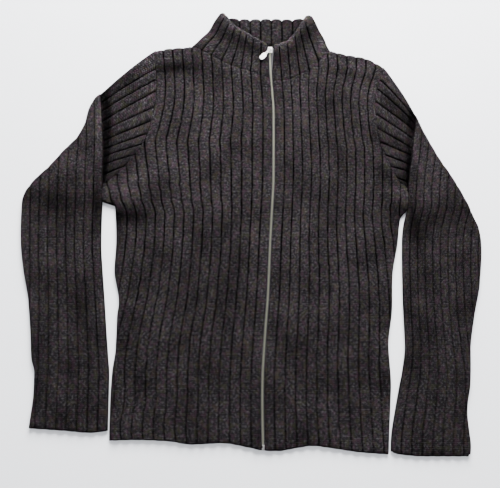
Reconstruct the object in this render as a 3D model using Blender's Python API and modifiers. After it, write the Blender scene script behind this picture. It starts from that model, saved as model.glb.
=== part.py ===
# A chunky rib-knit jacket with a stand collar and a full-length zip, lying face up on a table,
# zip closed and sleeves turned down. Metres, +X to the viewer's right, +Y towards the collar, +Z up.
# Plan tables give x from the middle of the span and the height up the garment from the lowest cuff.
# Sides are the wearer's: the right front and sleeve lie at -X.

import math

import bmesh
import bpy
from mathutils import Vector

LENGTH = 0.780        # lowest cuff to the top corner of the collar
WALL = 0.0030         # cloth between the ribs
RIB_RISE = 0.0017     # how far a rib stands up from its groove
GROOVE = 0.2          # share of a rib's width in each of its two slopes
LAYER_GAP = 0.0003    # between pieces that lie on or beside each other
EDGE_DROP = 0.0024    # how far a folded side rounds away, at top and bottom
EDGE_WIDTH = 0.0034   # width of that rounding in plan
HOLLOW_INSET = 0.0042 # a tube's hollow starts this far inside its folded sides
TOP_INSET = 1.3       # and this many times that below the sloping top of a sleeve
CAP_SHARES = (0.0, 0.12, 0.5, 0.88, 1.0)  # rows of a cap's grid, from armhole to crease
FIRST_RIB = 0.019     # the rib beside the zip is wider than the rest
ARMHOLE_RIB = 12      # ribs from the zip to the armhole, on each front
TAPE_RIB = 0.8        # the zip's tape ends inside this share of the first rib
SEAM_OFFSET = 0.0003  # each edge keeps this far from its seam line

TAPE_WIDTH = 0.013
TAPE_THICK = 0.0007
CHAIN_WIDTH = 0.0019
CHAIN_HIGH = 0.0021
ZIP_OPENING = 0.0026  # from the zip line to the edge of each front
ZIP_OPENING_TOP = 0.0054

YARN = ("yarn_charcoal", (0.050, 0.043, 0.046), 0.92, 0.0)
TAPE = ("tape_black", (0.030, 0.028, 0.030), 0.80, 0.0)
NICKEL = ("nickel", (0.74, 0.73, 0.70), 0.28, 1.0)


class Table:
    """Rows of named columns, read at any value of the first column by a curve that never overshoots."""

    def __init__(self, columns, *rows):
        self.columns = columns.split()
        self.rows = sorted(rows)
        self.at = [row[0] for row in self.rows]

    def slopes(self, values):
        steps = [
            (values[i + 1] - values[i]) / (self.at[i + 1] - self.at[i]) for i in range(len(values) - 1)
        ]
        inner = [
            2 * a * b / (a + b) if a * b > 0 else 0.0 for a, b in zip(steps, steps[1:])
        ]
        return [steps[0]] + inner + [steps[-1]]

    def __call__(self, column, at):
        values = [row[self.columns.index(column)] for row in self.rows]
        at = min(max(at, self.at[0]), self.at[-1])
        i = max(k for k in range(len(self.at) - 1) if self.at[k] <= at)
        span = self.at[i + 1] - self.at[i]
        t = (at - self.at[i]) / span
        slopes = self.slopes(values)
        return (
            values[i] * (1 + 2 * t) * (1 - t) ** 2
            + values[i + 1] * t * t * (3 - 2 * t)
            + span * slopes[i] * t * (1 - t) ** 2
            - span * slopes[i + 1] * t * t * (1 - t)
        )


# Where the zip runs, and how high its tapes lie: over the back collar and up into the slider.
ZIP_LINE = Table(
    "height x level",
    (0.008, 0.021, 0.0033), (0.082, 0.020, 0.0033), (0.120, 0.0205, 0.0033), (0.194, 0.025, 0.0033),
    (0.258, 0.030, 0.0033), (0.359, 0.035, 0.0033), (0.409, 0.038, 0.0033), (0.467, 0.041, 0.0033),
    (0.586, 0.042, 0.0033), (0.640, 0.039, 0.0033), (0.656, 0.0378, 0.0053), (0.690, 0.0365, 0.0053),
    (0.699, 0.0362, 0.0067), (0.718, 0.0375, 0.0067),
)

# Each front: pitch of its ribs, and the side seam. Where the pitch is wide, ribs roll under the side.
FRONT_ROWS = {
    "right": Table(
        "height pitch side",
        (0.024, 0.0172, 0.225), (0.045, 0.0174, 0.2255), (0.091, 0.0170, 0.226), (0.132, 0.0172, 0.225),
        (0.171, 0.0173, 0.221), (0.223, 0.0169, 0.221), (0.244, 0.0167, 0.219), (0.304, 0.0163, 0.229),
        (0.345, 0.0162, 0.228), (0.395, 0.0164, 0.231), (0.4165, 0.0170, 0.234), (0.4235, 0.0173, 0.2520),
        (0.434, 0.0175, 0.2520), (0.452, 0.0180, 0.2512),
    ),
    "left": Table(
        "height pitch side",
        (0.003, 0.0173, 0.218), (0.037, 0.0173, 0.2215), (0.082, 0.0173, 0.227), (0.120, 0.0172, 0.2295),
        (0.171, 0.0170, 0.228), (0.236, 0.0168, 0.237), (0.290, 0.0164, 0.240), (0.345, 0.0159, 0.251),
        (0.393, 0.0154, 0.2590), (0.405, 0.0154, 0.2660), (0.423, 0.0155, 0.2692), (0.444, 0.0155, 0.2696),
    ),
}

# Each armhole seam, from the underarm to the tip of the shoulder.
ARMHOLE = {
    "right": Table(
        "height x",
        (0.452, 0.2512), (0.462, 0.241), (0.474, 0.229), (0.491, 0.214), (0.512, 0.199), (0.536, 0.186),
        (0.568, 0.177), (0.602, 0.171), (0.632, 0.169), (0.674, 0.172), (0.7045, 0.1765),
    ),
    "left": Table(
        "height x",
        (0.444, 0.2698), (0.459, 0.2575), (0.482, 0.247), (0.500, 0.240), (0.520, 0.232), (0.556, 0.226),
        (0.601, 0.2245), (0.629, 0.228), (0.650, 0.236), (0.6705, 0.2445),
    ),
}
CORNER = {"right": 0.536, "left": 0.520}      # height where the armhole turns along a rib
UNDERARM = {"right": 0.452, "left": 0.444}
HEM_ROW = 0.0         # the grid's first row, which follows the hem

# Heights of the rows of every panel's grid: closest where the underarm and the neck are.
PANEL_ROWS = (
    HEM_ROW, 0.050, 0.110, 0.171, 0.236, 0.304, 0.352, 0.393, 0.405, 0.4165, 0.4235, 0.434, 0.444, 0.452,
    0.482, 0.520, 0.536, 0.552, 0.568, 0.585, 0.601, 0.617, 0.632, 0.642, 0.652, 0.666, 0.678, 0.690,
    0.702, 0.720,
)

# Top edge of each front and of the back, by ribs from the zip: neckline, then shoulder.
NECK = {
    "right": Table(
        "rib front back",
        (0, 0.649, 0.692), (1, 0.6585, 0.692), (2, 0.666, 0.693), (3, 0.672, 0.695), (4, 0.678, 0.697),
        (5, 0.687, 0.701), (6, 0.698, 0.705), (7, 0.707, 0.710), (8.3, 0.714, 0.714), (10.3, 0.7115, 0.7115),
        (12, 0.7045, 0.7045),
    ),
    "left": Table(
        "rib front back",
        (0, 0.645, 0.692), (1, 0.647, 0.692), (2, 0.651, 0.693), (3, 0.660, 0.695), (4, 0.668, 0.697),
        (5, 0.685, 0.701), (6.4, 0.705, 0.705), (8.1, 0.698, 0.698), (9.8, 0.693, 0.693),
        (11.3, 0.680, 0.680), (12, 0.6705, 0.6705),
    ),
}
NECK_POINT = {"right": 8.3, "left": 6.4}      # ribs from the zip to the foot of the collar's side

# The hem's edge, across the garment.
HEM = Table(
    "x height",
    (-0.225, 0.024), (-0.182, 0.025), (-0.131, 0.023), (-0.093, 0.018), (-0.045, 0.020), (0.000, 0.013),
    (0.020, 0.009), (0.043, 0.008), (0.076, 0.013), (0.100, 0.016), (0.126, 0.013), (0.176, 0.006),
    (0.218, 0.003),
)

# Collar: the top edge of each front half, by ribs from the zip.
COLLAR_EDGE = {
    "right": Table(
        "rib x height",
        (0, 0.0310, 0.7140), (1, 0.0205, 0.7225), (2, 0.0065, 0.7320), (3, -0.0055, 0.7400),
        (4, -0.0155, 0.7460), (5, -0.0255, 0.7535), (6, -0.0355, 0.7640), (7, -0.0435, 0.7725),
        (8.3, -0.0510, 0.7800),
    ),
    "left": Table(
        "rib x height",
        (0, 0.0440, 0.7140), (1, 0.0525, 0.7165), (2, 0.0670, 0.7240), (3, 0.0810, 0.7390),
        (4, 0.0890, 0.7530), (5, 0.0975, 0.7640), (6.4, 0.1080, 0.7755),
    ),
}
# The collar's folded sides and the top edge of its back half.
COLLAR_SIDE = {
    "right": Table("height x", (0.714, 0.1080), (0.728, 0.0925), (0.7425, 0.0755), (0.765, 0.0625), (0.780, 0.0510)),
    "left": Table("height x", (0.705, 0.1475), (0.720, 0.1390), (0.7455, 0.1255), (0.7700, 0.1135), (0.7755, 0.1080)),
}
COLLAR_BACK_TOP = Table(
    "x height",
    (-0.0510, 0.7800), (-0.0360, 0.7745), (-0.0200, 0.7725), (0.0000, 0.7720), (0.0380, 0.7725),
    (0.0760, 0.7715), (0.0880, 0.7725), (0.1080, 0.7755),
)
COLLAR_BACK_PITCH = 0.0195
COLLAR_BACK_RIBS = 7          # each way from the middle of the neck
COLLAR_MIDDLE = 0.0392
BACK_NECK = 0.692             # height of the back's neckline in the middle
COLLAR_FRONT_LEVEL = WALL + RIB_RISE + 2 * LAYER_GAP

# Each sleeve: its inner edge, which is the crease above the underarm, its outer edge and its ribs.
SLEEVE_ROWS = {
    "right": Table(
        "height inner outer pitch",
        (0.039, 0.2275, 0.355, 0.0168), (0.062, 0.2280, 0.353, 0.0168), (0.094, 0.2285, 0.351, 0.0168),
        (0.132, 0.2295, 0.352, 0.0166), (0.153, 0.2320, 0.358, 0.0164), (0.197, 0.2370, 0.363, 0.0160),
        (0.252, 0.2430, 0.371, 0.0156), (0.304, 0.2490, 0.383, 0.0153), (0.345, 0.2530, 0.390, 0.0152),
        (0.382, 0.2540, 0.393, 0.0154), (0.421, 0.2545, 0.394, 0.0156), (0.438, 0.2550, 0.390, 0.0156),
        (0.461, 0.2560, 0.375, 0.0156), (0.485, 0.2570, 0.352, 0.0155), (0.517, 0.2580, 0.326, 0.0150),
        (0.541, 0.2595, 0.305, 0.0145), (0.568, 0.2620, 0.293, 0.0140), (0.592, 0.2645, 0.288, 0.0130),
        (0.613, 0.2670, 0.278, 0.0125), (0.622, 0.2690, 0.269, 0.0125),
    ),
    "left": Table(
        "height inner outer pitch",
        (0.000, 0.2235, 0.350, 0.0165), (0.020, 0.2245, 0.352, 0.0165), (0.037, 0.2265, 0.351, 0.0165),
        (0.062, 0.2315, 0.350, 0.0162), (0.082, 0.2360, 0.352, 0.0160), (0.112, 0.2430, 0.358, 0.0152),
        (0.132, 0.2480, 0.360, 0.0146), (0.179, 0.2550, 0.364, 0.0130), (0.236, 0.2550, 0.376, 0.0128),
        (0.282, 0.2560, 0.387, 0.0128), (0.353, 0.2590, 0.394, 0.0130), (0.376, 0.2620, 0.391, 0.0132),
        (0.394, 0.2665, 0.384, 0.0134), (0.412, 0.2715, 0.378, 0.0135), (0.439, 0.2735, 0.366, 0.0136),
        (0.473, 0.2775, 0.348, 0.0138), (0.496, 0.2820, 0.334, 0.0138), (0.532, 0.2880, 0.316, 0.0136),
        (0.556, 0.2920, 0.305, 0.0130), (0.571, 0.2945, 0.299, 0.0125), (0.580, 0.2955, 0.2955, 0.0125),
    ),
}
ELBOW = {"right": 0.421, "left": 0.353}       # height of each sleeve's widest point
CUFF = {
    "right": Table("x height", (0.227, 0.039), (0.256, 0.036), (0.296, 0.039), (0.355, 0.043)),
    "left": Table("x height", (0.222, 0.008), (0.237, 0.003), (0.277, 0.000), (0.345, 0.000), (0.352, 0.003)),
}
# The cap of each sleeve, between armhole and crease: where each of its ribs starts and ends.
CAP_RIBS = {
    "right": Table(
        "rib crease seam",
        (0, 0.622, 0.7045), (1, 0.606, 0.671), (2, 0.590, 0.650), (3, 0.571, 0.628), (4, 0.552, 0.597),
        (5, 0.533, 0.570), (6, 0.517, 0.546), (7, 0.5035, 0.5265), (8, 0.489, 0.507), (9, 0.470, 0.486),
        (10, 0.445, 0.452),
    ),
    "left": Table(
        "rib crease seam",
        (0, 0.580, 0.6705), (1, 0.573, 0.648), (2, 0.5645, 0.632), (3, 0.552, 0.607), (4, 0.536, 0.583),
        (5, 0.518, 0.556), (6, 0.505, 0.530), (7, 0.488, 0.506), (8, 0.4755, 0.485), (9, 0.456, 0.464),
        (10, 0.435, 0.444),
    ),
}
# The cap's top edge bows out between the shoulder's tip and the crease.
CAP_BOW = {"right": 0.0015, "left": 0.0015}

# Folds: soft swells of the upper layer. Reach runs along the turn and width across it.
SWELLS = {
    "front_right": (
        # x, height, reach, width, turn in degrees, rise
        (-0.214, 0.446, 0.030, 0.016, 35, 0.0034),
        (-0.238, 0.431, 0.016, 0.011, 10, 0.0026),
        (-0.142, 0.704, 0.034, 0.007, 8, 0.0030),
        (-0.060, 0.330, 0.120, 0.050, 80, 0.0010),
        (-0.120, 0.120, 0.110, 0.045, 95, 0.0010),
    ),
    "front_left": (
        (0.252, 0.432, 0.020, 0.011, 60, 0.0032),
        (0.190, 0.690, 0.034, 0.007, -14, 0.0028),
        (0.150, 0.300, 0.130, 0.045, 95, 0.0010),
        (0.110, 0.090, 0.090, 0.040, 85, 0.0010),
    ),
    "sleeve_right": (
        (-0.271, 0.520, 0.110, 0.011, 94, 0.0034),
        (-0.268, 0.400, 0.060, 0.012, 90, 0.0022),
        (-0.325, 0.300, 0.200, 0.042, 88, 0.0014),
        (-0.205, 0.672, 0.045, 0.010, 40, 0.0026),
        (-0.290, 0.110, 0.060, 0.040, 90, 0.0012),
    ),
    "sleeve_left": (
        (0.289, 0.470, 0.085, 0.011, -78, 0.0032),
        (0.273, 0.370, 0.050, 0.012, -84, 0.0020),
        (0.325, 0.260, 0.200, 0.042, -88, 0.0014),
        (0.262, 0.620, 0.045, 0.010, -52, 0.0024),
        (0.290, 0.090, 0.060, 0.040, 90, 0.0012),
    ),
}
MOST_LIFT = 0.0036    # the hollow under a swell stays lower than 4 mm

SIGN = {"right": -1, "left": 1}

# Hard pieces of the zip.
SLIDER_AT = 0.7065            # height of the slider's middle up the garment
SLIDER_SIZE = (0.0082, 0.0118, 0.0044)
SLIDER_BASE = 0.0055
SLOT_BASE = 0.0064
SLOT_HIGH = 0.0027
SLOT_END = 0.7116             # the chain stops below the slider's nose
BRIDGE_REACH = 0.0038
BRIDGE_RISE = 0.0030
BRIDGE_WIRE = 0.00065
LINK_WIRE = 0.00045
LINK_HALF_WIDTH = 0.0032
LINK_BACK = 0.0010            # behind the bridge
LINK_REACH = 0.0046           # from the bridge to the tab's hinge
TAB_TURN = math.radians(229)  # the way the tab points, from +X
TAB_LENGTH = 0.0220
TAB_WIDTH = 0.0086
TAB_NECK = 0.0034
TAB_THICK = 0.0012
TAB_EYE = 0.00125
TAB_BORE = 0.00080
HINGE_LEVEL = 0.0136
LINK_LEVEL = 0.0112
BOX_SIZE = (0.0046, 0.0085, 0.0026)
BOX_AT = 0.0135

MIDDLE = LENGTH / 2           # the frame's origin is under the middle of the garment


def clear_scene():
    for item in list(bpy.data.objects):
        bpy.data.objects.remove(item, do_unlink=True)


def collection(name):
    made = bpy.data.collections.new(name)
    bpy.context.scene.collection.children.link(made)
    return made


def material(spec):
    name, colour, roughness, metallic = spec
    made = bpy.data.materials.get(name) or bpy.data.materials.new(name)
    made.use_nodes = True
    shader = made.node_tree.nodes["Principled BSDF"]
    shader.inputs["Base Color"].default_value = (*colour, 1.0)
    shader.inputs["Roughness"].default_value = roughness
    shader.inputs["Metallic"].default_value = metallic
    return made


def blend(a, b, t):
    return a + (b - a) * t


def ease(t):
    t = min(max(t, 0.0), 1.0)
    return t * t * (3 - 2 * t)


def point(x, height, z):
    return (x, height - MIDDLE, z)


def rib_columns(first, last):
    """Grid columns for ribs: the groove, then the two edges of the rib's flat top."""
    columns = []
    for rib in range(first, last):
        columns += [rib, rib + GROOVE, rib + 1 - GROOVE]
    return columns + [last]


def half_ribs(first, last):
    return [first + step / 2 for step in range(2 * (last - first) + 1)]


def rib_rise(rib):
    """Height of the cloth's face over its grooves, which run at whole numbers."""
    part = rib - math.floor(rib + 1e-6)
    return RIB_RISE * ease(max(min(part, 1 - part), 0.0) / GROOVE)


def lift(piece, x, height):
    total = 0.0
    for at_x, at_height, reach, width, turn, rise in SWELLS[piece]:
        c, s = math.cos(math.radians(turn)), math.sin(math.radians(turn))
        along = ((x - at_x) * c + (height - at_height) * s) / reach
        across = ((height - at_height) * c - (x - at_x) * s) / width
        total += rise * math.exp(-(along ** 2 + across ** 2))
    return min(total, MOST_LIFT)


class Sheet:
    """One side of a cloth wall: a grid of vertices and its four edges, each a list of (value, vertex)."""

    def __init__(self, mesh, rows, columns, place):
        self.grid = [[mesh.verts.new(place(r, c)) for c in columns] for r in rows]
        for low, high in zip(self.grid, self.grid[1:]):
            for a, b, c, d in zip(low, low[1:], high[1:], high):
                mesh.faces.new((a, b, c, d))
        self.first_row = list(zip(columns, self.grid[0]))
        self.last_row = list(zip(columns, self.grid[-1]))
        self.first_column = [(r, line[0]) for r, line in zip(rows, self.grid)]
        self.last_column = [(r, line[-1]) for r, line in zip(rows, self.grid)]


def stitch(mesh, one, other):
    """Closes the strip between two edges that run the same way, whatever their numbers of vertices."""
    i = j = 0
    while i < len(one) - 1 or j < len(other) - 1:
        step_one = j == len(other) - 1 or (i < len(one) - 1 and one[i + 1][0] <= other[j + 1][0] + 1e-9)
        third = one[i + 1][1] if step_one else other[j + 1][1]
        mesh.faces.new((one[i][1], other[j][1], third))
        i, j = (i + 1, j) if step_one else (i, j + 1)


def close_end(mesh, edges, end):
    """The end face between four edges of a tube's wall, at one end of each."""
    mesh.faces.new([edge[end][1] for edge in edges])


def above(edge, value):
    return [item for item in edge if item[0] >= value - 1e-9]


def below(edge, value):
    return [item for item in edge if item[0] <= value + 1e-9]


def finish(mesh, name, spec, home):
    """Merges the points that a cut edge brought together, and makes the closed mesh an object."""
    bmesh.ops.remove_doubles(mesh, verts=mesh.verts, dist=2e-5)
    bmesh.ops.dissolve_degenerate(mesh, dist=1e-6, edges=mesh.edges)
    bmesh.ops.recalc_face_normals(mesh, faces=mesh.faces)
    data = bpy.data.meshes.new(name)
    mesh.to_mesh(data)
    mesh.free()
    data.shade_smooth()
    data.set_sharp_from_angle(angle=math.radians(50))
    return place_object(name, data, spec, home)


def place_object(name, data, spec, home):
    made = bpy.data.objects.new(name, data)
    data.materials.clear()
    data.materials.append(material(spec))
    home.objects.link(made)
    return made


# Fronts and back

def zip_opening(height):
    return blend(ZIP_OPENING, ZIP_OPENING_TOP, ease((height - 0.690) / 0.011))


def rib_pitch(side, height):
    """Below the armhole's corner the table's pitch; above it, ribs share the width up to the armhole."""
    corner, underarm = CORNER[side], UNDERARM[side]
    room = ARMHOLE[side]("x", max(height, corner)) - SIGN[side] * ZIP_LINE("x", max(height, corner))
    upper = (room - FIRST_RIB) / (ARMHOLE_RIB - 1)
    lower = FRONT_ROWS[side]("pitch", height)
    return blend(lower, upper, ease((height - underarm) / (corner - underarm)))


def rib_x(side, rib, height):
    """Distance outwards from the middle of the span to a rib's line, on one side."""
    start = SIGN[side] * ZIP_LINE("x", height)
    return start + FIRST_RIB * min(rib, 1) + rib_pitch(side, height) * max(rib - 1, 0)


def rib_at(side, reach, height):
    """The rib, counted from the zip, at a distance from the middle of the span."""
    out = reach - SIGN[side] * ZIP_LINE("x", height)
    return out / FIRST_RIB if out < FIRST_RIB else 1 + (out - FIRST_RIB) / rib_pitch(side, height)


def diagonal_height(side, rib):
    """Height at which a rib outside the armhole's corner is cut by the armhole."""
    low, high = UNDERARM[side], CORNER[side]
    if rib_x(side, rib, low) >= ARMHOLE[side]("x", low):
        return low
    for _ in range(30):
        middle = (low + high) / 2
        if rib_x(side, rib, middle) < ARMHOLE[side]("x", middle):
            low = middle
        else:
            high = middle
    return low


def panel_point(side, rib, row, layer, opening, at_edge):
    """Plan of a front or of half the back: a row is a height, cut to the hem and to the top edge."""
    if rib > ARMHOLE_RIB:
        top = diagonal_height(side, rib)
    else:
        top = NECK[side](layer, rib)
    top -= SEAM_OFFSET
    height = min(row, top)
    reach = rib_x(side, rib, height)
    if height > CORNER[side] - 0.02:
        reach = min(reach, ARMHOLE[side]("x", height) - SEAM_OFFSET)
    if height < UNDERARM[side]:
        edge = FRONT_ROWS[side]("side", height)
        reach = edge if at_edge else min(reach, edge - EDGE_WIDTH)
    reach = max(reach, SIGN[side] * ZIP_LINE("x", height) + opening(height))
    x = SIGN[side] * reach
    return x, HEM("height", x) if row == HEM_ROW else height


def panel_sheets(mesh, side, rib_list, side_list, level, layer, opening):
    """The two grids of a panel: up to the armhole's rib, and from there to the side seam."""
    edge_column = side_list[-1] + 1

    def place(row, column):
        at_edge = column == edge_column
        rib = min(column, side_list[-1])
        x, height = panel_point(side, rib, row, layer, opening, at_edge)
        return point(x, height, level(x, height, at_edge))

    main = Sheet(mesh, PANEL_ROWS, rib_list, place)
    outer = Sheet(mesh, [r for r in PANEL_ROWS if r <= CORNER[side]], side_list + [edge_column], place)
    return main, outer


def tape_top(height):
    """Level of the tapes' upper face, taken a little further up, where they only climb."""
    return ZIP_LINE("level", height + 0.012) + TAPE_THICK


def beside_tape(reach):
    return 1 - ease((reach - TAPE_WIDTH - 0.003) / 0.010)


def zip_lift(height, reach):
    """The fronts lie over the zip's tapes, and come down to the layer below beside them."""
    rise = tape_top(height) + LAYER_GAP - (WALL + LAYER_GAP)
    return rise * beside_tape(reach)


def make_front(side, home):
    name = f"front_{side}"
    last = 17
    mesh = bmesh.new()

    def inner_level(x, height, at_edge):
        reach = SIGN[side] * (x - ZIP_LINE("x", height))
        return WALL + LAYER_GAP + max(zip_lift(height, reach), lift(name, x, height) * (0.2 if at_edge else 1))

    def outer_level(x, height, at_edge):
        level = inner_level(x, height, at_edge) + WALL
        return level - EDGE_DROP * 0.6 if at_edge else level + rib_rise(rib_at(side, SIGN[side] * x, height))

    ribbed = sorted(rib_columns(0, ARMHOLE_RIB) + [NECK_POINT[side]])
    plain = sorted([TAPE_RIB, NECK_POINT[side]] + list(range(ARMHOLE_RIB + 1)))
    outer = panel_sheets(
        mesh, side, ribbed, rib_columns(ARMHOLE_RIB, last), outer_level, "front", zip_opening
    )
    inner = panel_sheets(mesh, side, plain, half_ribs(ARMHOLE_RIB, last), inner_level, "front", zip_opening)
    for one, other in zip(outer, inner):
        stitch(mesh, one.first_row, other.first_row)
        stitch(mesh, one.last_row, other.last_row)
    stitch(mesh, outer[0].first_column, inner[0].first_column)
    stitch(mesh, above(outer[0].last_column, CORNER[side]), above(inner[0].last_column, CORNER[side]))
    stitch(mesh, outer[1].last_column, inner[1].last_column)
    return finish(mesh, name, YARN, home)


def make_back(home):
    mesh = bmesh.new()

    def no_opening(height):
        return 0.0

    def under(x, height, at_edge):
        return EDGE_DROP * 0.7 if at_edge else 0.0

    def over(x, height, at_edge):
        return WALL

    for side in ("right", "left"):
        ribs, sides = [0, 1.5, 3, 4.5, 6, 7.5, 9, 10.5, ARMHOLE_RIB], half_ribs(ARMHOLE_RIB, 17)
        lower = panel_sheets(mesh, side, ribs, sides, under, "back", no_opening)
        upper = panel_sheets(mesh, side, ribs, sides, over, "back", no_opening)
        for one, other in zip(lower, upper):
            stitch(mesh, one.first_row, other.first_row)
            stitch(mesh, one.last_row, other.last_row)
        stitch(mesh, above(lower[0].last_column, CORNER[side]), above(upper[0].last_column, CORNER[side]))
        stitch(mesh, lower[1].last_column, upper[1].last_column)
    return finish(mesh, "back", YARN, home)


# Sleeves

def sleeve_rows(side, ribs):
    """Heights up a sleeve: evenly to the underarm, the elbow, then one for each of these ribs of the cap."""
    cap = [CAP_RIBS[side]("crease", rib) for rib in reversed(ribs)]
    start, steps = SLEEVE_ROWS[side].at[0], 8
    low = [blend(start, cap[0] - 0.006, step / steps) for step in range(steps + 1)]
    return sorted(low + [ELBOW[side]]) + cap


def sleeve_point(side, rib, row, end, inset):
    """Plan of the sleeve below the crease: ribs run from the cuff and are cut by the outer edge."""
    table = SLEEVE_ROWS[side]
    foot = CAP_RIBS[side]("crease", len(CAP_RIBS[side].rows) - 1)
    if row >= table.at[-1]:
        row -= TOP_INSET * inset
    folded = row <= foot + 1e-6
    inner = table("inner", row) + (inset if folded else 0.0)
    outer = max(table("outer", row) - inset, inner)
    if row >= table.at[-1] - TOP_INSET * inset or end == "inner":
        reach = inner
    elif end == "outer":
        reach = outer
    else:
        reach = max(inner + rib * table("pitch", row), inner + (EDGE_WIDTH if folded else 0.0))
        reach = min(reach, max(outer - EDGE_WIDTH, inner))
    return SIGN[side] * reach, CUFF[side]("height", reach) if row == table.at[0] else row


def cap_point(side, rib, share, inset):
    """Plan of the cap: a rib runs from the armhole seam, share 0, to the crease, share 1."""
    table = CAP_RIBS[side]
    last = len(table.rows) - 1
    drop = TOP_INSET * inset if rib == 0 else 0.0
    crease, seam = table("crease", rib) - drop, table("seam", rib) - drop
    start = Vector((ARMHOLE[side]("x", seam) + SEAM_OFFSET, seam))
    end = Vector((SLEEVE_ROWS[side]("inner", crease), crease))
    spot = start.lerp(end, share)
    bow = CAP_BOW[side] * math.sin(math.pi * share) * max(0.0, 1 - rib / 3)
    spot += Vector((bow * 0.6, bow * 0.8))
    if rib == last:
        spot.x += inset
    return SIGN[side] * spot.x, spot.y


def make_sleeve(side, home):
    name = f"sleeve_{side}"
    last = len(CAP_RIBS[side].rows) - 1
    foot, crown = CAP_RIBS[side]("crease", last), CAP_RIBS[side]("crease", 0)
    outermost = 11
    mesh = bmesh.new()

    def on_fold(part, rib, at):
        if part == "cap":
            return rib in (0, last)
        return rib == outermost or at == crown or (rib == 0 and at <= foot)

    def swell(part, x, height, at):
        flattened = 1 - 0.65 * at if part == "cap" else 1.0
        return WALL + LAYER_GAP + lift(name, x, height) * flattened

    def face(part, rib, at, x, height):
        if on_fold(part, rib, at):
            return 2 * WALL + LAYER_GAP - EDGE_DROP * 0.4
        if part == "sleeve":
            rib = (SIGN[side] * x - SLEEVE_ROWS[side]("inner", height)) / SLEEVE_ROWS[side]("pitch", height)
        return swell(part, x, height, at) + WALL + rib_rise(rib)

    def ceiling(part, rib, at, x, height):
        return WALL + LAYER_GAP if on_fold(part, rib, at) else swell(part, x, height, at)

    def floor(part, rib, at, x, height):
        return WALL

    def underside(part, rib, at, x, height):
        return EDGE_DROP if on_fold(part, rib, at) else 0.0

    def sheets(ribs, rows, columns, inset, level):
        def place_cap(share, rib):
            x, height = cap_point(side, rib, share, inset)
            return point(x, height, level("cap", rib, share, x, height))

        def place_sleeve(row, rib):
            end = {0: "inner", outermost: "outer"}.get(rib)
            x, height = sleeve_point(side, rib, row, end, inset)
            return point(x, height, level("sleeve", rib, row, x, height))

        return Sheet(mesh, CAP_SHARES, ribs, place_cap), Sheet(mesh, rows, columns, place_sleeve)

    ribbed = rib_columns(0, outermost - 1) + [outermost]
    plain = [0, 2.5, 5, 7.5, outermost]
    few, many = list(range(last + 1)), half_ribs(0, last)
    outer = sheets(rib_columns(0, last), sleeve_rows(side, few), ribbed, 0.0, face)
    roof = sheets(many, sleeve_rows(side, few), plain, HOLLOW_INSET, ceiling)
    bed = sheets(many, sleeve_rows(side, many), plain, HOLLOW_INSET, floor)
    under = sheets(many, sleeve_rows(side, many), plain, 0.0, underside)
    for one, other in ((outer, roof), (under, bed)):
        stitch(mesh, one[0].first_row, other[0].first_row)
        stitch(mesh, one[1].first_row, other[1].first_row)
    for one, other in ((outer, under), (roof, bed)):
        stitch(mesh, one[0].first_column, other[0].first_column)
        stitch(mesh, one[0].last_column, other[0].last_column)
        stitch(mesh, one[1].last_column, other[1].last_column)
        stitch(mesh, below(one[1].first_column, foot), below(other[1].first_column, foot))
    for cap, sleeve in (outer, roof):
        crease = [(CAP_RIBS[side]("crease", rib), vertex) for rib, vertex in reversed(cap.last_row)]
        stitch(mesh, crease, above(sleeve.first_column, foot))
    for part in (0, 1):
        for end in (0, -1):
            close_end(mesh, [sheet[part].first_row for sheet in (outer, under, bed, roof)], end)
    return finish(mesh, name, YARN, home)


# Collar

def collar_front_point(side, rib, share, opening):
    """Plan of a front half: ribs run from the neckline seam, share 0, to the top edge, share 1."""
    last = NECK_POINT[side]
    seam_height = NECK[side]("front", rib) + SEAM_OFFSET
    start = Vector((SIGN[side] * rib_x(side, rib, seam_height), seam_height))
    end = Vector((COLLAR_EDGE[side]("x", rib), COLLAR_EDGE[side]("height", rib)))
    spot = start.lerp(end, share)
    corner_low, corner_high = COLLAR_SIDE[side].at[0], COLLAR_SIDE[side].at[-1]
    at = blend(corner_low, corner_high, share)
    chord = blend(COLLAR_SIDE[side]("x", corner_low), COLLAR_SIDE[side]("x", corner_high), share)
    bow = (COLLAR_SIDE[side]("x", at) - chord) * (rib / last) ** 3
    reach = SIGN[side] * spot.x + bow
    if rib == last:
        spot.y = at
        reach = COLLAR_SIDE[side]("x", at)
    reach = max(reach, SIGN[side] * ZIP_LINE("x", spot.y) + opening(spot.y))
    return SIGN[side] * reach, spot.y


def collar_back_point(rib, share, inset):
    """Plan of the back half: ribs run straight up from the neck and are cut by the folded sides."""
    end = "left" if rib > 0 else "right"
    edge = COLLAR_SIDE[end]
    edge_height = blend(edge.at[0], edge.at[-1], share)
    room = edge("x", edge_height) - inset
    if abs(rib) > COLLAR_BACK_RIBS:
        return SIGN[end] * room, edge_height
    x = SIGN[end] * min(SIGN[end] * (COLLAR_MIDDLE + rib * COLLAR_BACK_PITCH), room - EDGE_WIDTH)
    half = "left" if x > ZIP_LINE("x", BACK_NECK) else "right"
    ribs = abs(x - ZIP_LINE("x", BACK_NECK)) / rib_pitch(half, BACK_NECK)
    return x, blend(NECK[half]("back", ribs) + SEAM_OFFSET, COLLAR_BACK_TOP("height", x), share)


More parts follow.
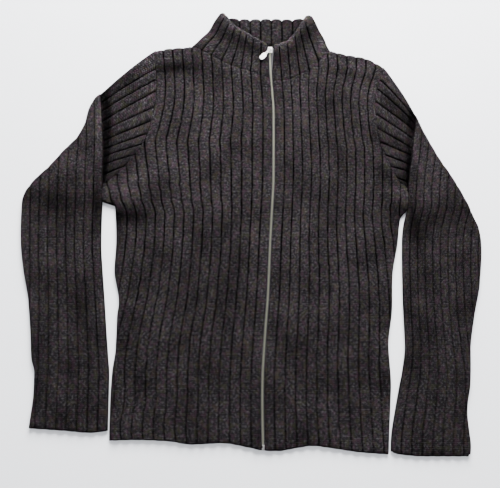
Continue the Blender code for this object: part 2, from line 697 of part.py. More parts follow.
def make_collar(home):
    mesh = bmesh.new()
    shares = [0.0, 0.08, 0.36, 0.64, 0.92, 1.0]
    end_drop = {0.0: 0.5, 1.0: 0.6}

    def front_level(side, x, height):
        reach = SIGN[side] * (x - ZIP_LINE("x", height))
        rise = tape_top(height) + LAYER_GAP - COLLAR_FRONT_LEVEL
        return COLLAR_FRONT_LEVEL + max(rise, 0.0) * beside_tape(reach)

    def front_sheet(side, ribs, upper, inset):
        last = NECK_POINT[side]

        def place(share, rib):
            x, height = collar_front_point(side, rib, share, zip_opening)
            level = front_level(side, x, height)
            if upper:
                rounded = rib == last
                drop = EDGE_DROP * (1 if rounded else end_drop.get(share, 0))
                level += WALL + (0 if rounded else rib_rise(rib)) - drop
            else:
                side_x = COLLAR_SIDE[side]("x", blend(COLLAR_SIDE[side].at[0], COLLAR_SIDE[side].at[-1], share))
                x = SIGN[side] * min(SIGN[side] * x, side_x - inset)
            return point(x, height, level)

        return Sheet(mesh, shares, ribs, place)

    def back_sheet(ribs, level, inset):
        def place(share, rib):
            x, height = collar_back_point(rib, share, inset)
            return point(x, height, level(rib, x))

        return Sheet(mesh, shares, ribs, place)

    end = COLLAR_BACK_RIBS + 1
    ribbed = [-end] + rib_columns(-COLLAR_BACK_RIBS, COLLAR_BACK_RIBS) + [end]
    plain = [-end] + [1.4 * step for step in range(-5, 6)] + [end]

    def inside_level(rib, x):
        return WALL if abs(rib) == end else WALL + rib_rise((x - COLLAR_MIDDLE) / COLLAR_BACK_PITCH)

    def under_level(rib, x):
        return EDGE_DROP * 1.4 if abs(rib) == end else 0.0

    inside = back_sheet(ribbed, inside_level, HOLLOW_INSET)
    under = back_sheet(plain, under_level, 0.0)
    stitch(mesh, inside.first_row, under.first_row)
    stitch(mesh, inside.last_row, under.last_row)
    for side in ("right", "left"):
        last = NECK_POINT[side]
        whole = int(last)
        upper = front_sheet(side, rib_columns(0, whole) + [last], True, 0.0)
        lower = front_sheet(side, [0, TAPE_RIB] + list(range(1, whole + 1)) + [last], False, HOLLOW_INSET)
        stitch(mesh, upper.first_row, lower.first_row)
        stitch(mesh, upper.last_row, lower.last_row)
        stitch(mesh, upper.first_column, lower.first_column)
        under_edge = under.first_column if side == "right" else under.last_column
        inside_edge = inside.first_column if side == "right" else inside.last_column
        stitch(mesh, upper.last_column, under_edge)
        stitch(mesh, lower.last_column, inside_edge)
        for end_row in (0, -1):
            close_end(mesh, (upper.last_column, lower.last_column, inside_edge, under_edge), end_row)
    return finish(mesh, "collar", YARN, home)


# Zip

def make_tape(side, home):
    """A tape with its half of the chain along the inner edge, swept up the zip line."""
    gap = LAYER_GAP / 2
    section = (
        # distance from the zip line, level above the tape's underside
        (gap, 0.0), (TAPE_WIDTH, 0.0), (TAPE_WIDTH, TAPE_THICK), (gap + CHAIN_WIDTH, TAPE_THICK),
        (gap + CHAIN_WIDTH, CHAIN_HIGH), (gap, CHAIN_HIGH),
    )
    start, stop = BOX_AT + BOX_SIZE[1] / 2 + LAYER_GAP, SLOT_END - LAYER_GAP
    heights = [blend(start, 0.640, step / 12) for step in range(12)]
    heights += [0.640, 0.646, 0.650, 0.656, 0.670, 0.690, 0.693, 0.696, 0.699, stop]
    mesh = bmesh.new()
    rings = []
    for height in heights:
        x, level = ZIP_LINE("x", height), ZIP_LINE("level", height)
        rings.append([mesh.verts.new(point(x + SIGN[side] * out, height, level + up)) for out, up in section])
    for low, high in zip(rings, rings[1:]):
        for k in range(len(section)):
            n = (k + 1) % len(section)
            mesh.faces.new((low[k], low[n], high[n], high[k]))
    mesh.faces.new(rings[0])
    mesh.faces.new(rings[-1])
    return finish(mesh, f"zip_{side}", TAPE, home)


def add_box(name, size, centre, home):
    mesh = bmesh.new()
    bmesh.ops.create_cube(mesh, size=1.0)
    bmesh.ops.scale(mesh, vec=size, verts=mesh.verts)
    data = bpy.data.meshes.new(name)
    mesh.to_mesh(data)
    mesh.free()
    made = place_object(name, data, NICKEL, home)
    made.location = centre
    return made


def add_wire(name, route, radius, closed, home, resolution=2):
    """A round wire along a list of points, as one closed mesh."""
    curve = bpy.data.curves.new(name, "CURVE")
    curve.dimensions = "3D"
    curve.bevel_depth = radius
    curve.bevel_resolution = resolution
    curve.use_fill_caps = not closed
    spline = curve.splines.new("POLY")
    spline.points.add(len(route) - 1)
    for spot, place in zip(spline.points, route):
        spot.co = (*place, 1.0)
    spline.use_cyclic_u = closed
    bent = bpy.data.objects.new(name, curve)
    home.objects.link(bent)
    data = bpy.data.meshes.new_from_object(bent.evaluated_get(bpy.context.evaluated_depsgraph_get()))
    bpy.data.objects.remove(bent)
    mesh = bmesh.new()
    mesh.from_mesh(data)
    bmesh.ops.remove_doubles(mesh, verts=mesh.verts, dist=1e-6)
    bmesh.ops.recalc_face_normals(mesh, faces=mesh.faces)
    mesh.to_mesh(data)
    mesh.free()
    data.shade_smooth()
    return place_object(name, data, NICKEL, home)


def boolean(target, tool, operation):
    cut = target.modifiers.new(operation.lower(), "BOOLEAN")
    cut.operation = operation
    cut.object = tool
    cut.solver = "EXACT"
    tool.hide_render = True
    tool.display_type = "WIRE"


def bevel(target, width, segments):
    soft = target.modifiers.new("soft edges", "BEVEL")
    soft.width = width
    soft.segments = segments
    soft.limit_method = "ANGLE"


def slider_centre():
    return Vector((ZIP_LINE("x", SLIDER_AT), SLIDER_AT - MIDDLE, SLIDER_BASE + SLIDER_SIZE[2] / 2))


def make_slider(home, guides):
    """Two plates joined at the nose, with a slot for the chain and a bridge over the top plate."""
    centre = slider_centre()
    slider = add_box("slider", SLIDER_SIZE, centre, home)
    bevel(slider, 0.0007, 2)
    foot = SLIDER_AT - SLIDER_SIZE[1]
    slot_size = (SLIDER_SIZE[0] * 2, SLOT_END - foot, SLOT_HIGH)
    slot_at = (centre.x, (SLOT_END + foot) / 2 - MIDDLE, SLOT_BASE + SLOT_HIGH / 2)
    boolean(slider, add_box("slider_slot", slot_size, slot_at, guides), "DIFFERENCE")
    top = SLIDER_BASE + SLIDER_SIZE[2]
    route = []
    for step in range(13):
        angle = math.pi * step / 12
        route.append((centre.x, centre.y - BRIDGE_REACH * math.cos(angle), top + BRIDGE_RISE * math.sin(angle)))
    route = [(centre.x, route[0][1], top - 0.0004)] + route + [(centre.x, route[-1][1], top - 0.0004)]
    bridge = add_wire("slider_bridge", route, BRIDGE_WIRE, False, guides)
    boolean(slider, bridge, "UNION")
    return slider


def tab_frame():
    """The tab's own directions: along it, across it, and the middle of its hinge."""
    along = Vector((math.cos(TAB_TURN), math.sin(TAB_TURN), 0.0))
    across = Vector((-along.y, along.x, 0.0))
    base = slider_centre()
    hinge = Vector((base.x, base.y, HINGE_LEVEL)) + along * LINK_REACH
    return along, across, hinge


def make_link(home):
    """A small ring through the bridge, tilted up to the tab's hinge."""
    along, across, hinge = tab_frame()
    base = slider_centre()
    back = Vector((base.x, base.y, LINK_LEVEL)) - along * LINK_BACK
    route = []
    corner = 0.0007
    for end, outward in ((hinge, 1), (back, -1)):
        for turn in (1, -1):
            side = across * (LINK_HALF_WIDTH * turn * outward)
            inner = across * ((LINK_HALF_WIDTH - corner) * turn * outward)
            step = along * (-outward * corner)
            pair = [end + side + step, end + inner + step * 0.29 + (side - inner) * 0.71, end + inner]
            route += pair if turn == 1 else pair[::-1]
    return add_wire("link", route, LINK_WIRE, True, home, resolution=2)


def make_pull_tab(home, guides):
    """A flat paddle with a rounded end and a slot, hung on the link by a rolled eye."""
    along, across, hinge = tab_frame()
    outline = []
    eye_edge = TAB_EYE * 0.5
    neck_half, half = 0.00095, TAB_WIDTH / 2
    for out, wide in ((eye_edge, neck_half), (0.0026, neck_half), (0.0038, TAB_NECK / 2), (0.0072, TAB_NECK / 2)):
        outline.append((out, wide))
    outline += [(0.0098, half * 0.92), (0.0112, half)]
    bend = TAB_LENGTH - half
    for step in range(9):
        angle = math.pi / 2 * (1 - step / 8)
        outline.append((bend + half * math.cos(angle), half * math.sin(angle)))
    outline += [(out, -wide) for out, wide in outline[-2::-1]]
    curve = bpy.data.curves.new("pull_tab", "CURVE")
    curve.dimensions = "2D"
    curve.fill_mode = "BOTH"
    curve.extrude = TAB_THICK / 2
    spline = curve.splines.new("POLY")
    spline.points.add(len(outline) - 1)
    for spot, (out, wide) in zip(spline.points, outline):
        spot.co = (out, wide, 0.0, 1.0)
    spline.use_cyclic_u = True
    flat = bpy.data.objects.new("pull_tab_outline", curve)
    guides.objects.link(flat)
    data = bpy.data.meshes.new_from_object(flat.evaluated_get(bpy.context.evaluated_depsgraph_get()))
    bpy.data.objects.remove(flat)
    mesh = bmesh.new()
    mesh.from_mesh(data)
    bmesh.ops.remove_doubles(mesh, verts=mesh.verts, dist=1e-6)
    bmesh.ops.recalc_face_normals(mesh, faces=mesh.faces)
    mesh.to_mesh(data)
    mesh.free()
    tab = place_object("pull_tab", data, NICKEL, home)
    tab.location = hinge
    tab.rotation_euler = (0, 0, TAB_TURN)
    for name, radius, long, operation in (
        ("tab_eye", TAB_EYE, LINK_HALF_WIDTH * 2 - LINK_WIRE * 2 - 0.0006, "UNION"),
        ("tab_bore", TAB_BORE, 0.01, "DIFFERENCE"),
    ):
        roller = add_cylinder(name, radius, long, guides)
        roller.location = hinge
        roller.rotation_euler = (math.radians(90), 0, TAB_TURN)
        boolean(tab, roller, operation)
    slot = add_box("tab_slot", (0.0022, 0.0014, 0.01), hinge + along * 0.0056, guides)
    slot.rotation_euler = (0, 0, TAB_TURN)
    boolean(tab, slot, "DIFFERENCE")
    return tab


def add_cylinder(name, radius, depth, home):
    mesh = bmesh.new()
    bmesh.ops.create_cone(mesh, cap_ends=True, segments=20, radius1=radius, radius2=radius, depth=depth)
    data = bpy.data.meshes.new(name)
    mesh.to_mesh(data)
    mesh.free()
    return place_object(name, data, NICKEL, home)


def make_zip_box(home):
    """The retainer box at the foot of the zip."""
    x, level = ZIP_LINE("x", BOX_AT), ZIP_LINE("level", BOX_AT)
    box = add_box("zip_box", BOX_SIZE, (x, BOX_AT - MIDDLE, level + BOX_SIZE[2] / 2), home)
    bevel(box, 0.0005, 2)
    return box


def main():
    clear_scene()
    home = collection("zip_jacket")
    guides = collection("guides")
    make_back(home)
    for side in ("right", "left"):
        make_front(side, home)
        make_sleeve(side, home)
        make_tape(side, home)
    make_collar(home)
    make_zip_box(home)
    make_slider(home, guides)
    make_link(home)
    make_pull_tab(home, guides)


main()
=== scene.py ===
# A chunky rib-knit sweater with a full-length zip and a stand collar, lying face up on a pale table.
# Plan tables follow the cut of the solids: x from the middle, height from the lowest cuff, in metres.
import math

import bpy
import numpy as np
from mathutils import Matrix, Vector


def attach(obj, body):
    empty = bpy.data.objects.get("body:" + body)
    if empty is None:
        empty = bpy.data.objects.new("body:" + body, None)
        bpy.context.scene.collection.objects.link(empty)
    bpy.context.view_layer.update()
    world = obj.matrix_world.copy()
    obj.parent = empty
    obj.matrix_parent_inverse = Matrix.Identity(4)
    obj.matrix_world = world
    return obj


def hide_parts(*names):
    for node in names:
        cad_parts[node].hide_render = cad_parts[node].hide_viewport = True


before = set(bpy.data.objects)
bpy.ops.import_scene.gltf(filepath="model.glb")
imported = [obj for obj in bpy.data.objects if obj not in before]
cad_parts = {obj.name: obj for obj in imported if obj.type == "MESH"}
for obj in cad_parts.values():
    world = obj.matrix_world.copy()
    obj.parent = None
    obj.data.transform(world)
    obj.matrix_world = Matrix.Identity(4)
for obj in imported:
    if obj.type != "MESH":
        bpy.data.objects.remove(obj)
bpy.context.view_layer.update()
bpy.ops.object.select_all(action="DESELECT")

cloth = {
    "length": 0.780,        # lowest cuff to the top corner of the collar
    "layer": 0.0063,        # level of the upper layer's face between its ribs
    "under": 0.0030,        # thickness of one layer as it lies
    "gap": 0.0003,          # between layers
    "shell": 0.0019,        # thickness of a modelled layer
    "ribHigh": 0.0019,      # top of a rib over that level
    "grooveDeep": 0.0017,   # bottom of a groove under it
    "fold": 0.0036,         # radius of a folded edge in plan
    "pressed": 0.45,        # part of the ribs' relief that is left on an underside
    "course": 0.0042,       # distance between rows of a sheet's grid
    "seam": 0.0003,         # between pieces at a seam
}
firstRib = 0.019            # the rib beside the zip is wider than the rest
armholeRib = 12             # ribs from the zip to the armhole
sideRib = 17                # ribs from the zip to past the side seam
ribSteps = (0.0, 0.04, 0.09, 0.16, 0.26, 0.38, 0.5, 0.62, 0.74, 0.84, 0.91, 0.96)
coarseSteps = (0.0, 0.07, 0.18, 0.35, 0.5, 0.65, 0.82, 0.93)
sign = {"right": -1, "left": 1}


class SizeTable:            # rows of named sizes, read between rows by a curve that never overshoots
    def __init__(self, columns, *rows):
        data = np.array(sorted(rows), float)
        self.at = data[:, 0]
        self.values = dict(zip(columns.split(), data.T))
        self.slopes = {name: self.slopesOf(values) for name, values in self.values.items()}

    def slopesOf(self, values):
        steps = np.diff(values) / np.diff(self.at)
        product, total = steps[1:] * steps[:-1], steps[1:] + steps[:-1]
        inner = np.where(product > 0, 2 * product / np.where(product > 0, total, 1), 0)
        return np.concatenate([steps[:1], inner, steps[-1:]])

    def __call__(self, name, at):
        at = np.clip(at, self.at[0], self.at[-1])
        i = np.clip(np.searchsorted(self.at, at, side="right") - 1, 0, len(self.at) - 2)
        span = self.at[i + 1] - self.at[i]
        t = (at - self.at[i]) / span
        v, m = self.values[name], self.slopes[name]
        low = v[i] * (1 + 2 * t) * (1 - t) ** 2 + span * m[i] * t * (1 - t) ** 2
        return low + v[i + 1] * t * t * (3 - 2 * t) - span * m[i + 1] * t * t * (1 - t)


zipLine = SizeTable(
    "height x level",
    (0.008, 0.021, 0.0033), (0.082, 0.020, 0.0033), (0.120, 0.0205, 0.0033), (0.194, 0.025, 0.0033),
    (0.258, 0.030, 0.0033), (0.359, 0.035, 0.0033), (0.409, 0.038, 0.0033), (0.467, 0.041, 0.0033),
    (0.586, 0.042, 0.0033), (0.640, 0.039, 0.0033), (0.656, 0.0378, 0.0053), (0.690, 0.0365, 0.0053),
    (0.699, 0.0362, 0.0067), (0.718, 0.0375, 0.0067),
)
frontRows = {               # pitch of a front's ribs, and its side seam
    "right": SizeTable(
        "height pitch side",
        (0.024, 0.0172, 0.225), (0.045, 0.0174, 0.2255), (0.091, 0.0170, 0.226), (0.132, 0.0172, 0.225),
        (0.171, 0.0173, 0.221), (0.223, 0.0169, 0.221), (0.244, 0.0167, 0.219), (0.304, 0.0163, 0.229),
        (0.345, 0.0162, 0.228), (0.395, 0.0164, 0.231), (0.4165, 0.0170, 0.234), (0.4215, 0.0173, 0.2560),
        (0.434, 0.0175, 0.2572), (0.452, 0.0180, 0.2565),
    ),
    "left": SizeTable(
        "height pitch side",
        (0.003, 0.0173, 0.2205), (0.037, 0.0173, 0.2230), (0.082, 0.0173, 0.227), (0.120, 0.0172, 0.2295),
        (0.171, 0.0170, 0.228), (0.236, 0.0168, 0.237), (0.290, 0.0164, 0.240), (0.345, 0.0159, 0.251),
        (0.393, 0.0154, 0.2590), (0.405, 0.0154, 0.2705), (0.423, 0.0155, 0.2745), (0.444, 0.0155, 0.2748),
    ),
}
armhole = {                 # each armhole seam, from the underarm to the tip of the shoulder
    "right": SizeTable(
        "height x",
        (0.452, 0.2560), (0.462, 0.2425), (0.474, 0.229), (0.491, 0.214), (0.512, 0.199), (0.536, 0.186),
        (0.568, 0.177), (0.602, 0.171), (0.632, 0.169), (0.674, 0.172), (0.7045, 0.1765),
    ),
    "left": SizeTable(
        "height x",
        (0.444, 0.2745), (0.459, 0.2585), (0.482, 0.247), (0.500, 0.240), (0.520, 0.232), (0.556, 0.226),
        (0.601, 0.2245), (0.629, 0.228), (0.650, 0.236), (0.6705, 0.2445),
    ),
}
cornerHeight = {"right": 0.536, "left": 0.520}
underarmHeight = {"right": 0.452, "left": 0.444}
neck = {                    # top edge of each front and of the back, by ribs from the zip
    "right": SizeTable(
        "rib front back",
        (0, 0.649, 0.692), (1, 0.6585, 0.692), (2, 0.666, 0.693), (3, 0.672, 0.695), (4, 0.678, 0.697),
        (5, 0.687, 0.701), (6, 0.698, 0.705), (7, 0.707, 0.710), (8.3, 0.714, 0.714), (10.3, 0.7115, 0.7115),
        (12, 0.7045, 0.7045),
    ),
    "left": SizeTable(
        "rib front back",
        (0, 0.645, 0.692), (1, 0.647, 0.692), (2, 0.651, 0.693), (3, 0.660, 0.695), (4, 0.668, 0.697),
        (5, 0.685, 0.701), (6.4, 0.705, 0.705), (8.1, 0.698, 0.698), (9.8, 0.693, 0.693),
        (11.3, 0.680, 0.680), (12, 0.6705, 0.6705),
    ),
}
neckPoint = {"right": 8.3, "left": 6.4}
hem = SizeTable(
    "x height",
    (-0.225, 0.024), (-0.182, 0.025), (-0.131, 0.023), (-0.093, 0.018), (-0.045, 0.020), (0.000, 0.013),
    (0.020, 0.009), (0.043, 0.008), (0.076, 0.013), (0.100, 0.016), (0.126, 0.013), (0.176, 0.006),
    (0.218, 0.003),
)
collarEdge = {              # the collar's top edge on each front half, by ribs from the zip
    "right": SizeTable(
        "rib x height",
        (0, 0.0310, 0.7140), (1, 0.0205, 0.7225), (2, 0.0065, 0.7320), (3, -0.0055, 0.7400),
        (4, -0.0155, 0.7460), (5, -0.0255, 0.7535), (6, -0.0355, 0.7640), (7, -0.0435, 0.7750),
        (7.6, -0.0470, 0.7785), (8.3, -0.0510, 0.7790),
    ),
    "left": SizeTable(
        "rib x height",
        (0, 0.0440, 0.7140), (1, 0.0525, 0.7165), (2, 0.0670, 0.7240), (3, 0.0810, 0.7390),
        (4, 0.0890, 0.7530), (5, 0.0975, 0.7660), (5.7, 0.1030, 0.7735), (6.4, 0.1080, 0.7745),
    ),
}
collarSide = {              # its folded sides
    "right": SizeTable(
        "height x",
        (0.714, 0.1080), (0.728, 0.0925), (0.7425, 0.0755), (0.765, 0.0625), (0.780, 0.0510),
    ),
    "left": SizeTable(
        "height x",
        (0.705, 0.1475), (0.720, 0.1390), (0.7455, 0.1255), (0.7700, 0.1135), (0.7755, 0.1080),
    ),
}
collarBackTop = SizeTable(  # top edge of its back half
    "x height",
    (-0.0510, 0.7800), (-0.0360, 0.7745), (-0.0200, 0.7725), (0.0000, 0.7720), (0.0380, 0.7725),
    (0.0760, 0.7715), (0.0880, 0.7725), (0.1080, 0.7755),
)
sleeveRows = {              # inner and outer edge of each lower sleeve, and the pitch of its ribs
    "right": SizeTable(
        "height inner outer pitch",
        (0.039, 0.2275, 0.355, 0.0168), (0.062, 0.2280, 0.353, 0.0168), (0.094, 0.2285, 0.351, 0.0168),
        (0.132, 0.2295, 0.352, 0.0166), (0.153, 0.2320, 0.358, 0.0164), (0.197, 0.2370, 0.363, 0.0160),
        (0.252, 0.2430, 0.371, 0.0156), (0.304, 0.2490, 0.383, 0.0153), (0.345, 0.2530, 0.390, 0.0152),
        (0.382, 0.2540, 0.393, 0.0154), (0.421, 0.2545, 0.394, 0.0156), (0.438, 0.2550, 0.390, 0.0156),
        (0.461, 0.2560, 0.375, 0.0156), (0.485, 0.2570, 0.352, 0.0155), (0.517, 0.2580, 0.326, 0.0150),
        (0.541, 0.2595, 0.305, 0.0145), (0.568, 0.2620, 0.293, 0.0140), (0.592, 0.2645, 0.288, 0.0130),
        (0.613, 0.2670, 0.278, 0.0125), (0.622, 0.2690, 0.269, 0.0125),
    ),
    "left": SizeTable(
        "height inner outer pitch",
        (0.000, 0.2235, 0.350, 0.0165), (0.020, 0.2245, 0.352, 0.0165), (0.037, 0.2265, 0.351, 0.0165),
        (0.062, 0.2315, 0.350, 0.0162), (0.082, 0.2360, 0.352, 0.0160), (0.112, 0.2430, 0.358, 0.0152),
        (0.132, 0.2480, 0.360, 0.0146), (0.179, 0.2550, 0.364, 0.0130), (0.236, 0.2550, 0.376, 0.0128),
        (0.282, 0.2560, 0.387, 0.0128), (0.353, 0.2590, 0.394, 0.0130), (0.376, 0.2620, 0.391, 0.0132),
        (0.394, 0.2665, 0.384, 0.0134), (0.412, 0.2715, 0.378, 0.0135), (0.439, 0.2735, 0.366, 0.0136),
        (0.473, 0.2775, 0.348, 0.0138), (0.496, 0.2820, 0.334, 0.0138), (0.532, 0.2880, 0.316, 0.0136),
        (0.556, 0.2920, 0.305, 0.0130), (0.571, 0.2945, 0.299, 0.0125), (0.580, 0.2955, 0.2955, 0.0125),
    ),
}
cuff = {
    "right": SizeTable("x height", (0.227, 0.039), (0.256, 0.036), (0.296, 0.039), (0.355, 0.043)),
    "left": SizeTable(
        "x height", (0.222, 0.008), (0.237, 0.003), (0.277, 0.000), (0.345, 0.000), (0.352, 0.003),
    ),
}
capRibs = {                 # where each rib of a cap meets the crease and the armhole seam
    "right": SizeTable(
        "rib crease seam",
        (0, 0.622, 0.7045), (1, 0.606, 0.671), (2, 0.590, 0.650), (3, 0.571, 0.628), (4, 0.552, 0.597),
        (5, 0.533, 0.570), (6, 0.517, 0.546), (7, 0.5035, 0.5265), (8, 0.489, 0.507), (9, 0.470, 0.486),
        (10, 0.445, 0.452),
    ),
    "left": SizeTable(
        "rib crease seam",
        (0, 0.580, 0.6705), (1, 0.573, 0.648), (2, 0.5645, 0.632), (3, 0.552, 0.607), (4, 0.536, 0.583),
        (5, 0.518, 0.556), (6, 0.505, 0.530), (7, 0.488, 0.506), (8, 0.4755, 0.485), (9, 0.456, 0.464),
        (10, 0.435, 0.444),
    ),
}

# Folds and soft swells of the upper layer: reach runs along the turn, in degrees, and width across it.
spotColumns = "x height reach width turn rise"
folds = {
    "frontRight": (
        (-0.214, 0.446, 0.030, 0.016, 35, 0.0034), (-0.238, 0.431, 0.016, 0.011, 10, 0.0026),
        (-0.142, 0.705, 0.038, 0.006, 6, 0.0030), (-0.140, 0.690, 0.036, 0.006, 6, -0.0010),
        (-0.060, 0.330, 0.120, 0.050, 80, 0.0010), (-0.120, 0.120, 0.110, 0.045, 95, 0.0010),
    ),
    "frontLeft": (
        (0.252, 0.432, 0.020, 0.011, 60, 0.0032), (0.186, 0.692, 0.036, 0.006, -14, 0.0028),
        (0.183, 0.677, 0.034, 0.006, -14, -0.0009), (0.150, 0.300, 0.130, 0.045, 95, 0.0010),
        (0.110, 0.090, 0.090, 0.040, 85, 0.0010),
    ),
    "sleeveRight": (
        (-0.268, 0.520, 0.110, 0.010, 94, 0.0034), (-0.268, 0.400, 0.060, 0.012, 90, 0.0022),
        (-0.325, 0.300, 0.200, 0.042, 88, 0.0014), (-0.205, 0.672, 0.045, 0.010, 40, 0.0026),
        (-0.290, 0.110, 0.060, 0.040, 90, 0.0012),
    ),
    "sleeveLeft": (
        (0.289, 0.470, 0.085, 0.011, -78, 0.0032), (0.273, 0.370, 0.050, 0.012, -84, 0.0020),
        (0.325, 0.260, 0.200, 0.042, -88, 0.0014), (0.262, 0.620, 0.045, 0.010, -52, 0.0024),
        (0.290, 0.090, 0.060, 0.040, 90, 0.0012),
    ),
}
mostLift = 0.0036           # where folds cross, they rise no further than this

# Painted shade, where the cloth lies in shade in its creases, dips and gaps: as the folds, but with a
# strength up to 1.
# A strength under 0 is a painted highlight on a puffed-up bit.
paintedShades = {
    "frontRight": (
        (-0.138, 0.672, 0.055, 0.013, 4, 0.90), (-0.143, 0.700, 0.042, 0.008, 4, -0.52),
        (-0.206, 0.396, 0.048, 0.018, 0, 0.85), (-0.226, 0.350, 0.070, 0.010, 88, 0.35),
        (-0.214, 0.446, 0.036, 0.018, 30, -0.55), (-0.207, 0.517, 0.022, 0.014, 30, 0.65),
    ),
    "frontLeft": (
        (0.180, 0.660, 0.045, 0.011, -16, 0.50), (0.178, 0.683, 0.042, 0.007, -16, -0.50),
        (0.250, 0.375, 0.060, 0.012, -80, 0.45), (0.262, 0.438, 0.022, 0.014, 60, -0.55),
        (0.266, 0.406, 0.018, 0.010, 10, 0.70), (0.230, 0.475, 0.022, 0.012, -50, 0.40),
    ),
    "sleeveRight": (
        (-0.216, 0.655, 0.030, 0.009, 36, 0.50), (-0.262, 0.415, 0.070, 0.010, 90, 0.60),
        (-0.268, 0.545, 0.060, 0.006, 90, -0.40), (-0.335, 0.420, 0.068, 0.026, -8, 0.75),
        (-0.322, 0.514, 0.055, 0.024, 50, -0.32),
        (-0.285, 0.250, 0.120, 0.014, 86, 0.22), (-0.330, 0.140, 0.080, 0.016, 92, 0.22),
    ),
    "sleeveLeft": (
        (0.262, 0.592, 0.055, 0.012, -52, 0.50), (0.279, 0.390, 0.070, 0.010, -82, 0.60),
        (0.292, 0.500, 0.060, 0.006, -80, -0.40), (0.335, 0.400, 0.060, 0.024, 12, 0.55),
        (0.318, 0.490, 0.055, 0.022, -58, -0.28),
        (0.300, 0.200, 0.120, 0.014, -88, 0.22), (0.335, 0.120, 0.080, 0.014, -92, 0.20),
    ),
}


def spotsAt(spots, x, height, most):
    total = np.zeros_like(x)
    for row in spots:
        spot = dict(zip(spotColumns.split(), row))
        c, s = math.cos(math.radians(spot["turn"])), math.sin(math.radians(spot["turn"]))
        along = ((x - spot["x"]) * c + (height - spot["height"]) * s) / spot["reach"]
        across = ((height - spot["height"]) * c - (x - spot["x"]) * s) / spot["width"]
        total += spot["rise"] * np.exp(-(along ** 2 + across ** 2))
    return np.minimum(total, most)


def foldLift(piece, x, height):
    return spotsAt(folds[piece], x, height, mostLift)


# Painted shade at these places, and painted highlight where the strength is under 0.
def paintedShadeAt(piece, x, height):
    return spotsAt(paintedShades[piece], x, height, 1)


def ease(t):
    t = np.clip(t, 0, 1)
    return t * t * (3 - 2 * t)


def edgeRoll(distance, radius, drop):       # how far a rounded edge falls, this far inside it
    t = 1 - np.clip(distance / radius, 0, 1)
    return drop * (1 - np.sqrt(1 - t * t * 0.999))


def ribRelief(rib):                         # a wide rounded rib between two narrow grooves
    part = rib - np.floor(rib + 1e-7)
    crown = np.clip(1 - np.abs(2 * part - 1) ** 2.7, 0, 1) ** 0.66
    return crown * (cloth["ribHigh"] + cloth["grooveDeep"]) - cloth["grooveDeep"]


def lyingRelief(rib):                       # an underside's ribs, pressed flat on the table
    return (cloth["ribHigh"] - ribRelief(rib)) * cloth["pressed"]


def unevenness(x, height, seed):            # slow waver of hand-soft knit, about one unit each way
    return (
        np.sin(x * 61 + height * 23 + seed) * np.sin(height * 47 - x * 19 + 2 * seed)
        + 0.6 * np.sin(x * 131 - height * 71 + 3 * seed) * np.sin(height * 113 + x * 37 + seed)
    ) / 1.6


def ribColumns(first, last, steps):
    whole = int(math.floor(last - 1e-9))
    columns = [rib + step for rib in range(first, whole) for step in steps]
    columns += [whole + step for step in steps if whole + step < last - 0.02] + [last]
    return np.array(columns, float)


def levels(low, high, step):
    return np.linspace(low, high, max(2, int(round((high - low) / step)) + 1))


def addSheet(name, x, height, z, rib, run, deep=None):
    # A grid primitive whose points are moved to their places, row by row. It carries the knit's own UV map,
    # and a painted shade: how much darker the cloth is painted where shade falls on it.
    rows, columns = x.shape
    bpy.ops.mesh.primitive_grid_add(
        x_subdivisions=columns - 1, y_subdivisions=rows - 1, size=1, location=(0, 0, 0)
    )
    sheet = bpy.context.object
    sheet.name = name
    places = np.stack([x, height - cloth["length"] / 2, z], axis=-1).reshape(-1, 3)
    sheet.data.vertices.foreach_set("co", places.ravel().astype(np.float32))
    loops = np.empty(len(sheet.data.loops), int)
    sheet.data.loops.foreach_get("vertex_index", loops)
    knit = np.stack([rib.ravel()[loops], run.ravel()[loops]], axis=-1)
    layer = sheet.data.uv_layers[0]
    layer.name = "knit"
    layer.data.foreach_set("uv", knit.ravel().astype(np.float32))
    paintedShade = sheet.data.attributes.new("paintedShade", "FLOAT", "POINT")
    if deep is not None:
        paintedShade.data.foreach_set("value", deep.ravel().astype(np.float32))
    sheet.data.update()
    return sheet


def flipped(flip, *grids):                  # columns run from the viewer's left on top, and back underneath
    return [grid[:, ::-1] for grid in grids] if flip else grids


def joinSheets(name, sheets, thickness):
    # Joins the grids, welds the points that meet, and gives the cloth its thickness inwards.
    bpy.ops.object.select_all(action="DESELECT")
    for sheet in sheets:
        sheet.select_set(True)
    bpy.context.view_layer.objects.active = sheets[0]
    if len(sheets) > 1:
        bpy.ops.object.join()
    piece = bpy.context.view_layer.objects.active
    piece.name = name
    piece.data.name = name
    bpy.ops.object.mode_set(mode="EDIT")
    bpy.ops.mesh.select_all(action="SELECT")
    bpy.ops.mesh.remove_doubles(threshold=0.00002)
    bpy.ops.mesh.dissolve_degenerate(threshold=0.00001)
    bpy.ops.object.mode_set(mode="OBJECT")
    wall = piece.modifiers.new("wall", "SOLIDIFY")
    wall.thickness = thickness
    wall.offset = -1
    bpy.ops.object.modifier_apply(modifier=wall.name)
    points = np.empty(len(piece.data.vertices) * 3)
    piece.data.vertices.foreach_get("co", points)
    points[2::3] = np.maximum(points[2::3], 0)              # nothing hangs below the table
    piece.data.vertices.foreach_set("co", points)
    bpy.ops.object.shade_smooth()
    bpy.ops.object.select_all(action="DESELECT")
    return piece


# Plan of the fronts and the back

def ribPitch(side, height):
    corner, low = cornerHeight[side], underarmHeight[side]
    above = np.maximum(height, corner)
    room = armhole[side]("x", above) - sign[side] * zipLine("x", above)
    upper = (room - firstRib) / (armholeRib - 1)
    share = ease((height - low) / (corner - low))
    return frontRows[side]("pitch", height) * (1 - share) + upper * share


def ribReach(side, rib, height):
    start = sign[side] * zipLine("x", height)
    return start + firstRib * np.minimum(rib, 1) + ribPitch(side, height) * np.maximum(rib - 1, 0)


def ribAt(side, reach, height):
    out = reach - sign[side] * zipLine("x", height)
    return np.where(out < firstRib, out / firstRib, 1 + (out - firstRib) / ribPitch(side, height))


